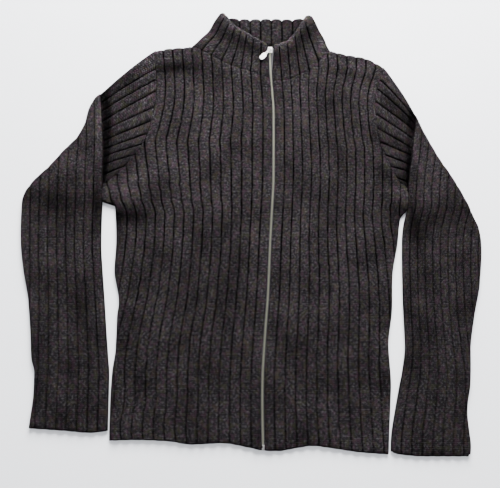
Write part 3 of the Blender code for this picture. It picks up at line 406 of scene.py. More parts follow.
def diagonalHeight(side, rib):              # where the armhole cuts a rib outside its corner
    low = np.full_like(rib, underarmHeight[side])
    high = np.full_like(rib, cornerHeight[side])
    beyond = ribReach(side, rib, low) >= armhole[side]("x", low)
    for _ in range(30):
        middle = (low + high) / 2
        inside = ribReach(side, rib, middle) < armhole[side]("x", middle)
        low, high = np.where(inside, middle, low), np.where(inside, high, middle)
    return np.where(beyond, underarmHeight[side], low)


def panelRows(step):
    # The lowest and highest rows follow the hem and the top edge, and the rest are level.
    return {
        "hem": np.linspace(0, 1, 9)[:-1],
        "level": levels(0.040, 0.600, step),
        "top": np.linspace(0, 1, 26)[1:],
    }


def panelPlan(side, ribs, layer, opening, step, outer):
    rows = panelRows(step)
    hemTop, topFoot = rows["level"][0], rows["level"][-1]
    edge = neck[side](layer, np.minimum(ribs, armholeRib)) - cloth["seam"]
    atHem = ribReach(side, np.minimum(ribs, 15), np.full_like(ribs, 0.02))
    lowest = hem("height", sign[side] * atHem)
    heights = [lowest + (hemTop - lowest) * t for t in rows["hem"]]
    heights += [np.full_like(ribs, h) for h in rows["level"]]
    if outer:
        edge = diagonalHeight(side, ribs) - cloth["seam"]
        heights = [np.minimum(h, edge) for h in heights if h[0] <= cornerHeight[side] + step]
    else:
        heights += [topFoot + (edge - topFoot) * t for t in rows["top"]]
    height = np.array(heights)
    rib = np.broadcast_to(ribs, height.shape)
    reach = ribReach(side, rib, height)
    cut = armhole[side]("x", height) - cloth["seam"]
    reach = np.where(height > cornerHeight[side] - 0.02, np.minimum(reach, cut), reach)
    sideEdge = frontRows[side]("side", height) - cloth["fold"]
    reach = np.where(height < underarmHeight[side], np.minimum(reach, sideEdge), reach)
    reach = np.maximum(reach, sign[side] * zipLine("x", height) + opening(height))
    return reach, height, np.broadcast_to(edge, height.shape)


frontShape = {
    # Rolled edges: how far in each starts, and how far it falls.
    "zipRoll": (0.0030, 0.0022), "hemRoll": (0.0030, 0.0024), "armholeRoll": (0.0026, 0.0009),
    "underarmRoll": (0.0030, 0.0012), "neckRoll": (0.0026, 0.0007), "shoulderRoll": (0.0050, 0.0036),
    "stitching": (0.0092, 0.0011, 0.0007),      # the zip's stitching: how far out, half its width, its depth
    "overTape": 0.026,                          # the cloth lies on the zip's tape this far out
    "opening": 0.0026, "atSlider": 0.0028,      # from the chain to the edge, and how much more at the slider
    "sliderFoot": 0.690,
    "waver": 0.00035, "slowWander": 0.0008, "quickWander": 0.0004,
    "hemWave": 0.0010, "hemBand": 0.035,
}
backShape = {"step": 0.0075, "roll": (0.0030, 0.0009)}


def zipOpening(height):
    sizes = frontShape
    return sizes["opening"] + sizes["atSlider"] * ease((height - sizes["sliderFoot"]) / 0.011)


def noOpening(height):                      # the back has no zip
    return np.zeros_like(height)


def tapeTop(height):                        # what the front's edge lies on
    return zipLine("level", height + 0.012) + zipSizes["tapeThick"]


def besideTape(out):
    return 1 - ease((out - 0.016) / 0.010)


def scallop(rib):                           # the loose edge of ribbing waves with its ribs
    part = rib - np.floor(rib + 1e-7)
    return np.abs(2 * part - 1) ** 3


def makeFront(side):
    name = "frontRight" if side == "right" else "frontLeft"
    sizes = frontShape
    sheets = []
    for outer in (False, True):
        first, last = (armholeRib, sideRib) if outer else (0, armholeRib)
        ribs = ribColumns(first, last, ribSteps)
        reach, height, edge = panelPlan(side, ribs, "front", zipOpening, cloth["course"], outer)
        rib = ribAt(side, reach, height)
        x = sign[side] * reach
        out = reach - sign[side] * zipLine("x", height)
        lift = foldLift(name, x, height)
        tapeLift = np.maximum((tapeTop(height) - cloth["under"]) * besideTape(out) - lift, 0)
        z = cloth["layer"] + lift + tapeLift * (out < sizes["overTape"]) + ribRelief(rib)
        z += sizes["waver"] * unevenness(x, height, 1.3)
        stitchAt, stitchWide, stitchDeep = sizes["stitching"]
        z -= stitchDeep * np.exp(-((out - stitchAt) / stitchWide) ** 2)
        z -= edgeRoll(out - zipOpening(height), *sizes["zipRoll"])
        z -= edgeRoll(height - hem("height", x), *sizes["hemRoll"])
        toSeam = armhole[side]("x", height) - reach
        seamed = (height > cornerHeight[side] - 0.03) & (toSeam < 0.006)
        z -= np.where(seamed, edgeRoll(toSeam, *sizes["armholeRoll"]), 0)
        below = edge - height
        if outer:
            z -= edgeRoll(below * 0.8, *sizes["underarmRoll"])
        else:
            onShoulder = edgeRoll(below, *sizes["shoulderRoll"])
            z -= np.where(rib < neckPoint[side], edgeRoll(below, *sizes["neckRoll"]), onShoulder)
        height = height + sizes["hemWave"] * scallop(rib) * ease((sizes["hemBand"] - height) / 0.020)
        wander = sizes["slowWander"] * unevenness(x * 0.3, height, 4.1)
        wander += sizes["quickWander"] * unevenness(x * 2, height * 3.5, 8.3)
        x = x + wander * ease((out - 0.02) / 0.05) * ease((seamReach(side, height) - reach) / 0.02)
        # Painted shade in its creases and gaps, and painted highlight on its bulges.
        deep = paintedShadeAt(name, x, height)
        if outer:
            # The side rounds over towards the back in a last few columns.
            foot = cloth["under"] + cloth["gap"]
            x, height, z, rib = addRound(side, x, height, z, rib, roundReach(side, height, reach), foot)
            deep = np.hstack([deep, np.repeat(deep[:, -1:], x.shape[1] - deep.shape[1], axis=1)])
        x, height, z, rib, deep = flipped(side == "right", x, height, z, rib, deep)
        sheets.append(addSheet(name, x, height, z, rib, height, deep))
    return joinSheets(name, sheets, cloth["shell"])


def seamReach(side, height):                # a panel's side seam, or its armhole seam above that
    seam = armhole[side]("x", height)
    return np.where(height < underarmHeight[side], frontRows[side]("side", height) - cloth["fold"], seam)


def roundReach(side, height, reach):        # where each row of a panel's folded side ends
    height, reach = height[:, -1], reach[:, -1]
    return np.where(height < underarmHeight[side], frontRows[side]("side", height), reach)


def addRound(side, x, height, z, rib, sideEdge, foot):
    # Columns that carry on from the last one, out and down to a level, as a quarter round.
    turns = np.radians([25, 50, 70, 90])
    start, top = x[:, -1:], z[:, -1:]
    wide = sign[side] * sideEdge[:, None] - start
    newX = start + wide * np.sin(turns)[None, :]
    newZ = foot + (top - foot) * np.cos(turns)[None, :]
    newHeight = np.repeat(height[:, -1:], len(turns), axis=1)
    newRib = rib[:, -1:] + (0.5 - rib[:, -1:] % 1) * np.sin(turns)[None, :]      # stays clear of a groove
    return tuple(np.hstack(pair) for pair in ((x, newX), (height, newHeight), (z, newZ), (rib, newRib)))


def makeBack():
    # Seen from below, its ribs lie on the table and its grooves stand clear of it.
    sizes = backShape
    sheets = []
    for side in ("right", "left"):
        for outer in (False, True):
            first, last = (armholeRib, sideRib) if outer else (0, armholeRib)
            ribs = ribColumns(first, last, coarseSteps)
            reach, height, edge = panelPlan(side, ribs, "back", noOpening, sizes["step"], outer)
            rib = ribAt(side, reach, height)
            x = sign[side] * reach
            z = lyingRelief(rib) + edgeRoll(height - hem("height", x), *sizes["roll"])
            if outer:
                foot = cloth["under"] - cloth["gap"]
                x, height, z, rib = addRound(side, x, height, z, rib, roundReach(side, height, reach), foot)
            else:
                z += edgeRoll(edge - height, *sizes["roll"])
            x, height, z, rib = flipped(side == "left", x, height, z, rib)
            sheets.append(addSheet("back", x, height, z, rib, height))
    return joinSheets("backPanel", sheets, cloth["shell"])


# Sleeves

sleeveShape = {
    "ribs": 11, "cuffRows": 0.04, "cuffRoll": (0.0030, 0.0022), "underRoll": (0.0030, 0.0009),
    "cuffWave": 0.0010, "waver": 0.00035, "turned": 0.22,       # ribs that a folded edge takes, by the radian
}
capShape = {
    "edgeRib": 0.17,                    # how far its folded edges run into their ribs
    "bow": 0.0015,                      # its highest ribs curve out by this
    "long": 0.08,                       # length of knit that a rib shows
    "seamRoll": (0.0036, 0.0014), "tuck": 0.0024, "waver": 0.0003,
    # Under the roll of the lower sleeve: how deep it goes, from which share of its length, over how much.
    "sunk": 0.0026, "sinks": (0.66, 0.32),
    # Painted shade towards the crease: from which share, over how much, and how dark.
    "shades": ((0.35, 0.4, 0.30), (0.74, 0.16, 0.75)),
}
foldTurns = np.radians(np.linspace(90, -90, 9))[1:-1]


def closeLoop(*stretches):                  # a tube's columns, all the way round and the first one again
    return [np.hstack([*grids, grids[0][:, :1]]) for grids in zip(*stretches)]


def makeSleeve(side):
    name = "sleeveRight" if side == "right" else "sleeveLeft"
    return joinSheets(name, [lowerSleeve(name, side), sleeveCap(name, side)], cloth["shell"])


def lowerSleeve(name, side):
    # A flattened tube: ribbed top, folded outer edge, underside, and the inner edge that rolls over the cap.
    table, sizes = sleeveRows[side], sleeveShape
    topRibs = ribColumns(0, sizes["ribs"], ribSteps)
    underRibs = ribColumns(0, sizes["ribs"], coarseSteps)[::-1]
    rows = levels(table.at[0] + sizes["cuffRows"], table.at[-1], cloth["course"])
    low = np.linspace(0, 1, 11)[:-1]

    def band(ribs):
        start = cuff[side]("height", table("inner", table.at[0]) + ribs * table("pitch", table.at[0]))
        heights = [start + (rows[0] - start) * t for t in low]
        height = np.array(heights + [np.full_like(ribs, h) for h in rows])
        inner, outer, pitch = (table(column, height) for column in ("inner", "outer", "pitch"))
        fold = np.minimum(cloth["fold"], (outer - inner) / 2)
        reach = np.clip(inner + np.broadcast_to(ribs, height.shape) * pitch, inner + fold, outer - fold)
        return reach, height, fold, (reach - inner) / pitch

    reach, height, fold, rib = band(topRibs)
    underReach, underHeight, _, underRib = band(underRibs)
    x = sign[side] * reach
    z = cloth["layer"] + foldLift(name, x, height) + ribRelief(rib)
    z += sizes["waver"] * unevenness(x, height, 2.2)
    start = height[0:1]
    z -= edgeRoll(height - start, *sizes["cuffRoll"])
    height = height + sizes["cuffWave"] * scallop(rib) * ease((start + 0.02 - height) / 0.02)
    underZ = lyingRelief(underRib) + edgeRoll(underHeight - underHeight[0:1], *sizes["underRoll"])

    def arc(at, underAt, outward, turns):
        middle, high = (z[:, at] + underZ[:, underAt]) / 2, (z[:, at] - underZ[:, underAt]) / 2
        return (
            reach[:, at][:, None] + outward * fold[:, at][:, None] * np.cos(turns)[None, :],
            np.repeat(height[:, at][:, None], len(turns), axis=1),
            middle[:, None] + high[:, None] * np.sin(turns)[None, :],
            rib[:, at][:, None] + outward * (math.pi / 2 - turns)[None, :] * sizes["turned"],
        )

    reach, height, z, rib = closeLoop(
        (reach, height, z, rib), arc(-1, 0, 1, foldTurns),
        (underReach, underHeight, underZ, underRib), arc(0, -1, -1, foldTurns[::-1]),
    )
    x = sign[side] * reach
    # Painted shade in its creases and dips, and painted highlight on its ridges.
    deep = paintedShadeAt(name, x, height)
    x, height, z, rib, deep = flipped(side == "right", x, height, z, rib, deep)
    return addSheet(name, x, height, z, rib, height, deep)


def sleeveCap(name, side):
    # Ribs run from the armhole seam down to the crease and tuck under the roll of the lower sleeve.
    table, sizes = capRibs[side], capShape
    last, edge = int(table.at[-1]), sizes["edgeRib"]
    shares = np.concatenate([[-0.05, -0.015], np.linspace(0, 1, 19), [1.04, 1.08]])
    top = np.clip(ribColumns(0, last, ribSteps), edge, last - edge)
    under = np.clip(ribColumns(0, last, coarseSteps), edge, last - edge)[::-1]

    def plan(ribs, share):
        crease, seam = table("crease", ribs), table("seam", ribs)
        startX, endX = armhole[side]("x", seam) + cloth["seam"], sleeveRows[side]("inner", crease)
        bow = sizes["bow"] * np.sin(math.pi * np.clip(share, 0, 1)) * np.maximum(0, 1 - ribs / 3)
        planX = startX + (endX - startX) * share + bow * 0.6
        planY = seam + (crease - seam) * share + bow * 0.8
        return planX, planY, np.hypot(endX - startX, crease - seam)

    def band(ribs):
        ribGrid, shareGrid = np.meshgrid(ribs, shares)
        return (ribGrid, shareGrid) + plan(ribGrid, shareGrid)

    rib, share, reach, height, long = band(top)
    x = sign[side] * reach
    sinkFrom, sinkOver = sizes["sinks"]
    sunk = ease((share - sinkFrom) / sinkOver)
    z = cloth["layer"] + foldLift(name, x, height) * (1 - 0.65 * share) + ribRelief(rib) * (1 - 0.4 * sunk)
    z += sizes["waver"] * unevenness(x, height, 5.2)
    drop = edgeRoll(share * long, *sizes["seamRoll"]) + sizes["tuck"] * ease(-share / 0.05)
    z -= drop + sizes["sunk"] * sunk
    underRib, underShare, underReach, underHeight, _ = band(under)
    underZ = lyingRelief(underRib) + 0.0004 * ease((underShare - 0.97) / 0.03)

    def arc(at, underAt, edgeRib, turns):
        edgeX, edgeY, _ = plan(np.full_like(shares, edgeRib), shares)
        baseX, baseY = reach[:, at], height[:, at]
        middle, high = (z[:, at] + underZ[:, underAt]) / 2, (z[:, at] - underZ[:, underAt]) / 2
        c, s = np.cos(turns)[None, :], np.sin(turns)[None, :]
        return (
            baseX[:, None] + (edgeX - baseX)[:, None] * c, baseY[:, None] + (edgeY - baseY)[:, None] * c,
            middle[:, None] + high[:, None] * s, np.full((len(shares), len(turns)), edgeRib + 0.1),
        )

    reach, height, z, rib = closeLoop(
        (reach, height, z, rib), arc(-1, 0, last, foldTurns),
        (underReach, underHeight, underZ, underRib), arc(0, -1, 0, foldTurns[::-1]),
    )
    share = np.broadcast_to(shares[:, None], reach.shape)
    x = sign[side] * reach
    # Painted shade in its creases, painted highlight on its bulges, and painted shade towards the crease
    # under the roll.
    deep = paintedShadeAt(name, x, height)
    for start, over, dark in sizes["shades"]:
        deep = deep + dark * ease((share - start) / over)
    run, deep = share * sizes["long"], np.minimum(deep, 1)
    x, height, z, rib, run, deep = flipped(side == "right", x, height, z, rib, run, deep)
    return addSheet(name, x, height, z, rib, run, deep)


# Collar

collarShape = {
    "high": 0.06,                       # from the seam to the top edge, as it lies
    "sideRib": 0.55,                    # the rib at a folded side narrows to this, so no groove is there
    "sideOut": 0.0032, "sideRoll": (0.006, 0.0030), "cornerRoll": (0.009, 0.0050),
    "over": 0.0020, "tuck": 0.0026, "seamRoll": (0.0022, 0.0004),
    "rimAt": 0.0034, "rimWide": 0.0040, "rimHigh": 0.0022, "rimUp": 0.0032, "edgeRoll": (0.0036, 0.0050),
    "wave": 0.0010, "waver": 0.0003,
    # Painted shade down a front half: how dark from the seam, and how dark a painted shadow or light a
    # painted highlight is at a distance under the top edge.
    "seamShade": (0.25, 0.15), "rimShade": (0.60, 0.021, 0.015), "rimHighlight": (1.00, 0.0042, 0.0052),
}
collarBackShape = {
    "high": 0.075, "ribs": 8, "pitch": 0.0195, "middle": 0.0392, "inside": 0.0045,
    "sideRoll": (0.007, 0.0040), "cornerRoll": (0.012, 0.0050), "topRoll": (0.0035, 0.0012), "wave": 0.0011,
    "waver": 0.0003, "neckLevel": 0.692, "shade": 0.25, "edgeShade": 0.6, "edgeReach": 0.007,
}


def makeCollar():
    sheets = [collarFront("right"), collarFront("left"), collarBack()]
    return joinSheets("standCollar", sheets, cloth["shell"])


def collarFront(side):
    sizes, last = collarShape, neckPoint[side]
    ribs = ribColumns(0, last, ribSteps)
    rimRows = [0.92, 0.94, 0.955, 0.97, 0.98, 0.99, 1.0]
    shares = np.concatenate([[-0.035, -0.012], np.linspace(0, 0.90, 22), rimRows])
    rib, share = np.meshgrid(ribs, shares)
    lastGroove = int(last) - 1
    shown = np.where(rib > lastGroove, lastGroove + (rib - lastGroove) * sizes["sideRib"], rib)
    seam = neck[side]("front", rib) + cloth["seam"]
    startX, startY = sign[side] * ribReach(side, rib, seam), seam
    endX, endY = collarEdge[side]("x", rib), collarEdge[side]("height", rib)
    x, height = startX + (endX - startX) * share, startY + (endY - startY) * share
    rim = (1 - share) * sizes["high"]          # distance from the top edge
    sideTable = collarSide[side]
    low, high = sideTable.at[0], sideTable.at[-1]
    at = low + (high - low) * share
    chord = sideTable("x", low) + (sideTable("x", high) - sideTable("x", low)) * share
    reach = sign[side] * x + (sideTable("x", at) - chord) * (rib / last) ** 3
    sideReach = sideTable("x", at) + sizes["sideOut"] * ease((share - 0.1) / 0.3)
    sideReach = sideReach - edgeRoll(rim, *sizes["sideRoll"])
    toSide = ease((rib / last - 0.93) / 0.07)
    height = height * (1 - toSide) + at * toSide
    reach = np.minimum(reach, sideReach - cloth["fold"])
    zipReach = sign[side] * zipLine("x", height)
    opening = zipOpening(height)
    out = np.maximum(reach - zipReach, opening)
    reach = np.maximum(reach, zipReach + opening)
    over = sizes["over"] * ease(share / 0.45)
    rise = np.maximum(tapeTop(height) - cloth["under"] - over, 0) * besideTape(out)
    x = sign[side] * reach
    z = cloth["layer"] + over + rise + ribRelief(shown) + sizes["waver"] * unevenness(x, height, 7.7)
    tuck = sizes["tuck"] * np.sqrt(np.clip(-share / 0.035, 0, 1))
    z -= np.where(share < 0, tuck, edgeRoll(share * sizes["high"], *sizes["seamRoll"]))
    # The cast-off edge rolls and stands up, with no grooves across it.
    onRim = np.exp(-((rim - sizes["rimAt"]) / sizes["rimWide"]) ** 2)
    height = height + sizes["rimUp"] * ease((share - 0.55) / 0.45)
    z += onRim * (sizes["rimHigh"] + 0.8 * (cloth["ribHigh"] - ribRelief(shown)))
    z -= edgeRoll(rim, *sizes["edgeRoll"])
    z -= edgeRoll(out - opening, *frontShape["zipRoll"])
    nearTop = ease((share - 0.8) / 0.2)
    height = height - sizes["wave"] * scallop(shown) * nearTop
    height = height - edgeRoll(sideReach - np.abs(x), *sizes["cornerRoll"]) * nearTop
    x, height, z, rib = addRound(side, x, height, z, shown, sideReach[:, -1], 0.0006)
    share, rim = share[:, :1], rim[:, :1]
    # Painted shade near the seam, a painted shadow under the rolled rim, and a painted highlight on the rim.
    seamDark, seamWide = sizes["seamShade"]
    rimDark, darkAt, darkWide = sizes["rimShade"]
    rimHighlight, lightAt, lightWide = sizes["rimHighlight"]
    deep = seamDark * np.exp(-((share / seamWide) ** 2))
    deep = deep + rimDark * np.exp(-(((rim - darkAt) / darkWide) ** 2))
    deep = (deep - rimHighlight * np.exp(-(((rim - lightAt) / lightWide) ** 2))) * np.ones_like(x)
    x, height, z, rib, deep = flipped(side == "right", x, height, z, rib, deep)
    return addSheet("collar", x, height, z, rib, height, deep)


def collarBack():
    sizes = collarBackShape
    ribs = ribColumns(-sizes["ribs"], sizes["ribs"], ribSteps)
    shares = np.concatenate([np.linspace(0, 0.95, 24), [0.965, 0.98, 0.99, 1.0]])
    rib, share = np.meshgrid(ribs, shares)
    below = (1 - share) * sizes["high"]
    x = sizes["middle"] + rib * sizes["pitch"]
    for side in ("right", "left"):
        table = collarSide[side]
        room = table("x", table.at[0] + (table.at[-1] - table.at[0]) * share) - sizes["inside"]
        room = room - edgeRoll(below, *sizes["sideRoll"])
        x = np.where(rib * sign[side] > 0, sign[side] * np.minimum(sign[side] * x, room), x)
    fromZip = x - zipLine("x", sizes["neckLevel"])
    seams = {
        side: neck[side]("back", np.abs(fromZip) / ribPitch(side, np.full_like(x, sizes["neckLevel"])))
        for side in ("right", "left")
    }
    seam = np.where(fromZip > 0, seams["left"], seams["right"])
    rib = (x - sizes["middle"]) / sizes["pitch"]
    topEdge = collarBackTop("height", x)
    for side in ("right", "left"):          # its corners are as round as the fronts'
        fromCorner = sign[side] * (collarEdge[side]("x", neckPoint[side]) - x)
        topEdge = topEdge - edgeRoll(fromCorner, *sizes["cornerRoll"])
        topEdge = topEdge - sizes["wave"] * scallop(rib) * ease((fromCorner - 0.012) / 0.012)
    height = seam + cloth["seam"] + (topEdge - seam) * share
    z = cloth["under"] + ribRelief(rib) * 0.9 + sizes["waver"] * unevenness(x, height, 9.1)
    z -= edgeRoll(below, *sizes["topRoll"])
    # Painted shade: the inside of the neck is painted darker, and more so towards the fronts' edges, which
    # shade it.
    toFront = np.where(x < zipLine("x", 0.705), collarEdgeAt("right", x), collarEdgeAt("left", x))
    inward = np.clip(height - toFront - 0.004, 0, None)
    deep = sizes["shade"] + sizes["edgeShade"] * np.exp(-inward / sizes["edgeReach"])
    return addSheet("collar", x, height, z, rib, height, deep)


def collarEdgeAt(side, x):                  # height of a front half's top edge, across the neck
    places = collarEdge[side].values
    order = np.argsort(places["x"])
    return np.interp(x, places["x"][order], places["height"][order])


# Zip

zipSizes = {
    "tapeWidth": 0.013, "tapeThick": 0.0007, "start": 0.0180, "stop": 0.7113, "pitch": 0.00130,
    "toothLong": 0.00080, "toothWide": 0.0018, "toothHigh": 0.0018,
    "past": 0.00035,                    # how far a tooth reaches past the middle of the chain
}


def makeTape(side):
    sizes = zipSizes
    heights = levels(sizes["start"], sizes["stop"], 0.005)
    across = np.array([0.00015, 0.0022, 0.0024, 0.0060, 0.0100, sizes["tapeWidth"]])
    level = np.array([0.0006, 0.0006, 0, 0, 0, 0])
    x = zipLine("x", heights)[:, None] + sign[side] * across[None, :]
    height = np.repeat(heights[:, None], len(across), axis=1)
    z = zipLine("level", heights)[:, None] + sizes["tapeThick"] + level[None, :]
    rib = np.broadcast_to(across[None, :] * 100, x.shape)
    x, height, z, rib = flipped(side == "right", x, height, z, rib)
    name = "tapeRight" if side == "right" else "tapeLeft"
    return joinSheets(name, [addSheet("tape", x, height, z, rib, height)], 0.0006)


def makeTeeth(side):
    # One rounded tooth, copied along the tape.
    sizes = zipSizes
    bpy.ops.mesh.primitive_cube_add(size=1, location=(0, 0, 0))
    tooth = bpy.context.object
    bpy.ops.transform.resize(value=(sizes["toothWide"], sizes["toothLong"], sizes["toothHigh"]))
    bpy.ops.object.transform_apply(location=False, rotation=False, scale=True)
    bpy.ops.object.mode_set(mode="EDIT")
    bpy.ops.mesh.select_all(action="SELECT")
    bpy.ops.mesh.bevel(offset=0.00022, segments=1)
    bpy.ops.object.mode_set(mode="OBJECT")
    one = np.array([vertex.co for vertex in tooth.data.vertices])
    faces = [list(face.vertices) for face in tooth.data.polygons]
    shift = 0 if side == "right" else sizes["pitch"] / 2
    heights = np.arange(sizes["start"] + 0.001 + shift, sizes["stop"] - 0.001, sizes["pitch"])
    middles = np.stack([
        zipLine("x", heights) + sign[side] * (sizes["toothWide"] / 2 - sizes["past"]),
        heights - cloth["length"] / 2,
        zipLine("level", heights) + 0.00125,
    ], axis=-1)
    places = (middles[:, None, :] + one[None, :, :]).reshape(-1, 3)
    copies = [[corner + k * len(one) for corner in face] for k in range(len(heights)) for face in faces]
    name = "teethRight" if side == "right" else "teethLeft"
    mesh = bpy.data.meshes.new(name)
    mesh.from_pydata(places.tolist(), [], copies)
    mesh.update()
    bpy.data.objects.remove(tooth)
    teeth = bpy.data.objects.new(name, mesh)
    bpy.context.scene.collection.objects.link(teeth)
    return teeth


# Materials

class Wire:                                 # a socket that takes part in sums written as Python
    def __init__(self, nodes, socket):
        self.nodes, self.socket = nodes, socket

    def maths(self, operation, first, second=None):
        inputs = {0: first} if second is None else {0: first, 1: second}
        return self.nodes.add("ShaderNodeMath", {"operation": operation}, inputs)

    def __add__(self, other):
        return self.maths("ADD", self, other)

    def __radd__(self, other):
        return self.maths("ADD", other, self)

    def __sub__(self, other):
        return self.maths("SUBTRACT", self, other)

    def __rsub__(self, other):
        return self.maths("SUBTRACT", other, self)

    def __mul__(self, other):
        return self.maths("MULTIPLY", self, other)

    def __rmul__(self, other):
        return self.maths("MULTIPLY", other, self)

    def __truediv__(self, other):
        return self.maths("DIVIDE", self, other)

    def __rtruediv__(self, other):
        return self.maths("DIVIDE", other, self)

    def __abs__(self):
        return self.maths("ABSOLUTE", self)


class NodeKit:                              # one material's nodes
    def __init__(self, name):
        self.material = bpy.data.materials.new(name)
        self.material.use_nodes = True
        self.tree = self.material.node_tree
        self.shader = self.tree.nodes["Principled BSDF"]

    def add(self, kind, settings, inputs, output=0):
        node = self.tree.nodes.new(kind)
        for name, value in settings.items():
            setattr(node, name, value)
        for name, value in inputs.items():
            self.give(node.inputs[name], value)
        return Wire(self, node.outputs[output])

    def give(self, socket, value):
        if isinstance(value, Wire):
            self.tree.links.new(value.socket, socket)
        else:
            socket.default_value = value

    def set(self, **values):
        for name, value in values.items():
            self.give(self.shader.inputs[name.replace("_", " ")], value)

    def separate(self, vector, part):       # one of a vector's three numbers
        return self.add("ShaderNodeSeparateXYZ", {}, {0: vector}, output=part)

    def fraction(self, wire):
        return wire.maths("FRACT", wire)

    def ramp(self, wire, low, high):        # 0 below low, 1 above high, smooth between
        return self.add(
            "ShaderNodeMapRange", {"interpolation_type": "SMOOTHSTEP"},
            {"Value": wire, "From Min": low, "From Max": high, "To Min": 0.0, "To Max": 1.0},
        )

    def mix(self, factor, a, b, blend="MIX"):
        return self.add(
            "ShaderNodeMix", {"data_type": "RGBA", "blend_type": blend}, {0: factor, 6: a, 7: b}, output=2
        )

    def noise(self, vector, scale, detail, rough):
        return self.add(
            "ShaderNodeTexNoise", {}, {"Vector": vector, "Scale": scale, "Detail": detail, "Roughness": rough}
        )


yarn = {
    "deep": (0.0100, 0.0089, 0.0101, 1), "charcoal": (0.0205, 0.0186, 0.0206, 1),
    "ash": (0.058, 0.055, 0.059, 1), "plum": (0.034, 0.0175, 0.0265, 1),
    "olive": (0.0250, 0.0260, 0.0150, 1), "brown": (0.033, 0.0225, 0.0165, 1),
    "walesPerRib": 4, "ribWide": 0.0165, "stitchHigh": 0.0030,
    # Scales of the noise behind each shade, in cycles a metre.
    "plyScale": 270.0, "plumScale": 130.0, "oliveScale": 115.0, "brownScale": 95.0,
    "cloudScale": 17.0, "grooveShadeScale": 45.0, "fuzzScale": 900.0,
    # How much of each shade shows where it is strongest.
    "plumShare": 0.60, "oliveShare": 0.55, "brownShare": 0.45, "ashShare": 0.85,
    # Painted shade: where it starts and is full in a groove, and how dark the painted shade from the mesh
    # gets.
    "grooveFrom": 0.72, "grooveTo": 0.95,       # share of the way from a rib's middle
    "paintedShadeDark": 0.88, "relief": 0.0018,
}


def yarnMaterial():
    kit = NodeKit("marledYarn")
    uv = kit.add("ShaderNodeUVMap", {"uv_map": "knit"}, {})
    u, v = kit.separate(uv, 0), kit.separate(uv, 1)
    # Stitches: two slanting legs to a wale, one above the other.
    wale = kit.fraction(u * yarn["walesPerRib"])
    fromMiddle = abs(wale - 0.5) * 2
    leg = kit.fraction(v / yarn["stitchHigh"] + fromMiddle * 0.75)
    legHigh = 1 - abs(leg - 0.5) * 2
    split = kit.ramp(fromMiddle, 0.0, 0.30) * (1 - kit.ramp(fromMiddle, 0.74, 1.0))
    stitch = kit.ramp(legHigh, 0.05, 0.75) * (split * 0.75 + 0.25)
    # Marl: plies of several shades, each about a stitch long.
    flat = kit.add("ShaderNodeCombineXYZ", {}, {0: u * yarn["ribWide"], 1: v, 2: 0.0})
    where = kit.add("ShaderNodeTexCoord", {}, {}, output=3)
    across, height = kit.separate(where, 0), kit.separate(where, 1)
    ply = kit.noise(flat, yarn["plyScale"], 2.0, 0.6)
    cloud = kit.noise(where, yarn["cloudScale"], 3.0, 0.6)
    plum = kit.noise(where, yarn["plumScale"], 1.0, 0.4)
    olive = kit.noise(flat, yarn["oliveScale"], 1.0, 0.4)
    brown = kit.noise(where, yarn["brownScale"], 2.0, 0.5)
    base = kit.mix(kit.ramp(ply, 0.36, 0.62), yarn["deep"], yarn["charcoal"])
    base = kit.mix(kit.ramp(plum, 0.52, 0.64) * yarn["plumShare"], base, yarn["plum"])
    base = kit.mix(kit.ramp(olive, 0.53, 0.65) * yarn["oliveShare"], base, yarn["olive"])
    base = kit.mix(kit.ramp(brown, 0.56, 0.68) * yarn["brownShare"], base, yarn["brown"])
    base = kit.mix(kit.ramp(ply, 0.52, 0.74) * yarn["ashShare"], base, yarn["ash"])
    shade = stitch * 0.95 + 0.50 + (cloud - 0.5) * 1.9
    # Painted shade: the yarn is painted a little darker towards the hem, where the light from the top falls
    # weaker.
    shade = shade * (kit.ramp(height, -0.30, 0.38) * 0.20 + 0.86)        # a little darker towards the hem
    # Painted shade in the grooves: uneven, fainter on the sleeves and towards the hem, and gone on a rolled
    # edge.
    groove = kit.ramp(abs(kit.fraction(u) - 0.5) * 2, yarn["grooveFrom"], yarn["grooveTo"])
    # Painted shade from the mesh's attribute, and painted highlight where it is under 0, which also clears
    # the grooves' painted shade.
    paintedShade = kit.add("ShaderNodeAttribute", {"attribute_name": "paintedShade"}, {}, output=2)
    grooveShade = kit.ramp(kit.noise(where, yarn["grooveShadeScale"], 2.0, 0.5), 0.30, 0.62) * 0.35 + 0.53
    grooveShade = grooveShade * (1 - kit.ramp(abs(across), 0.262, 0.285) * 0.30)
    grooveShade = grooveShade * (kit.ramp(height, -0.34, 0.05) * 0.32 + 0.68)
    grooveShade = grooveShade * kit.ramp(paintedShade, -0.72, -0.52)
    dark = shade * (1 - groove * grooveShade) * (1 - paintedShade * yarn["paintedShadeDark"])
    grey = kit.add("ShaderNodeCombineColor", {}, {0: dark, 1: dark, 2: dark})
    colour = kit.mix(1.0, base, grey, "MULTIPLY")
    pile = stitch + kit.noise(where, yarn["fuzzScale"], 2.0, 0.7) * 0.3
    bump = kit.add("ShaderNodeBump", {}, {"Strength": 1.0, "Distance": yarn["relief"], "Height": pile})
    kit.set(Base_Color=colour, Roughness=1.0, Normal=bump, Specular_IOR_Level=0.0)
    return kit.material


tapeCloth = {"dark": (0.016, 0.015, 0.016, 1), "light": (0.045, 0.043, 0.046, 1), "scale": 900.0}
metal = {
    "nickel": (0.30, 0.288, 0.285), "nickelRough": 0.24, "tooth": (0.17, 0.17, 0.13), "toothRough": 0.38,
    "cloudScale": 700.0, "dull": 0.72,
}


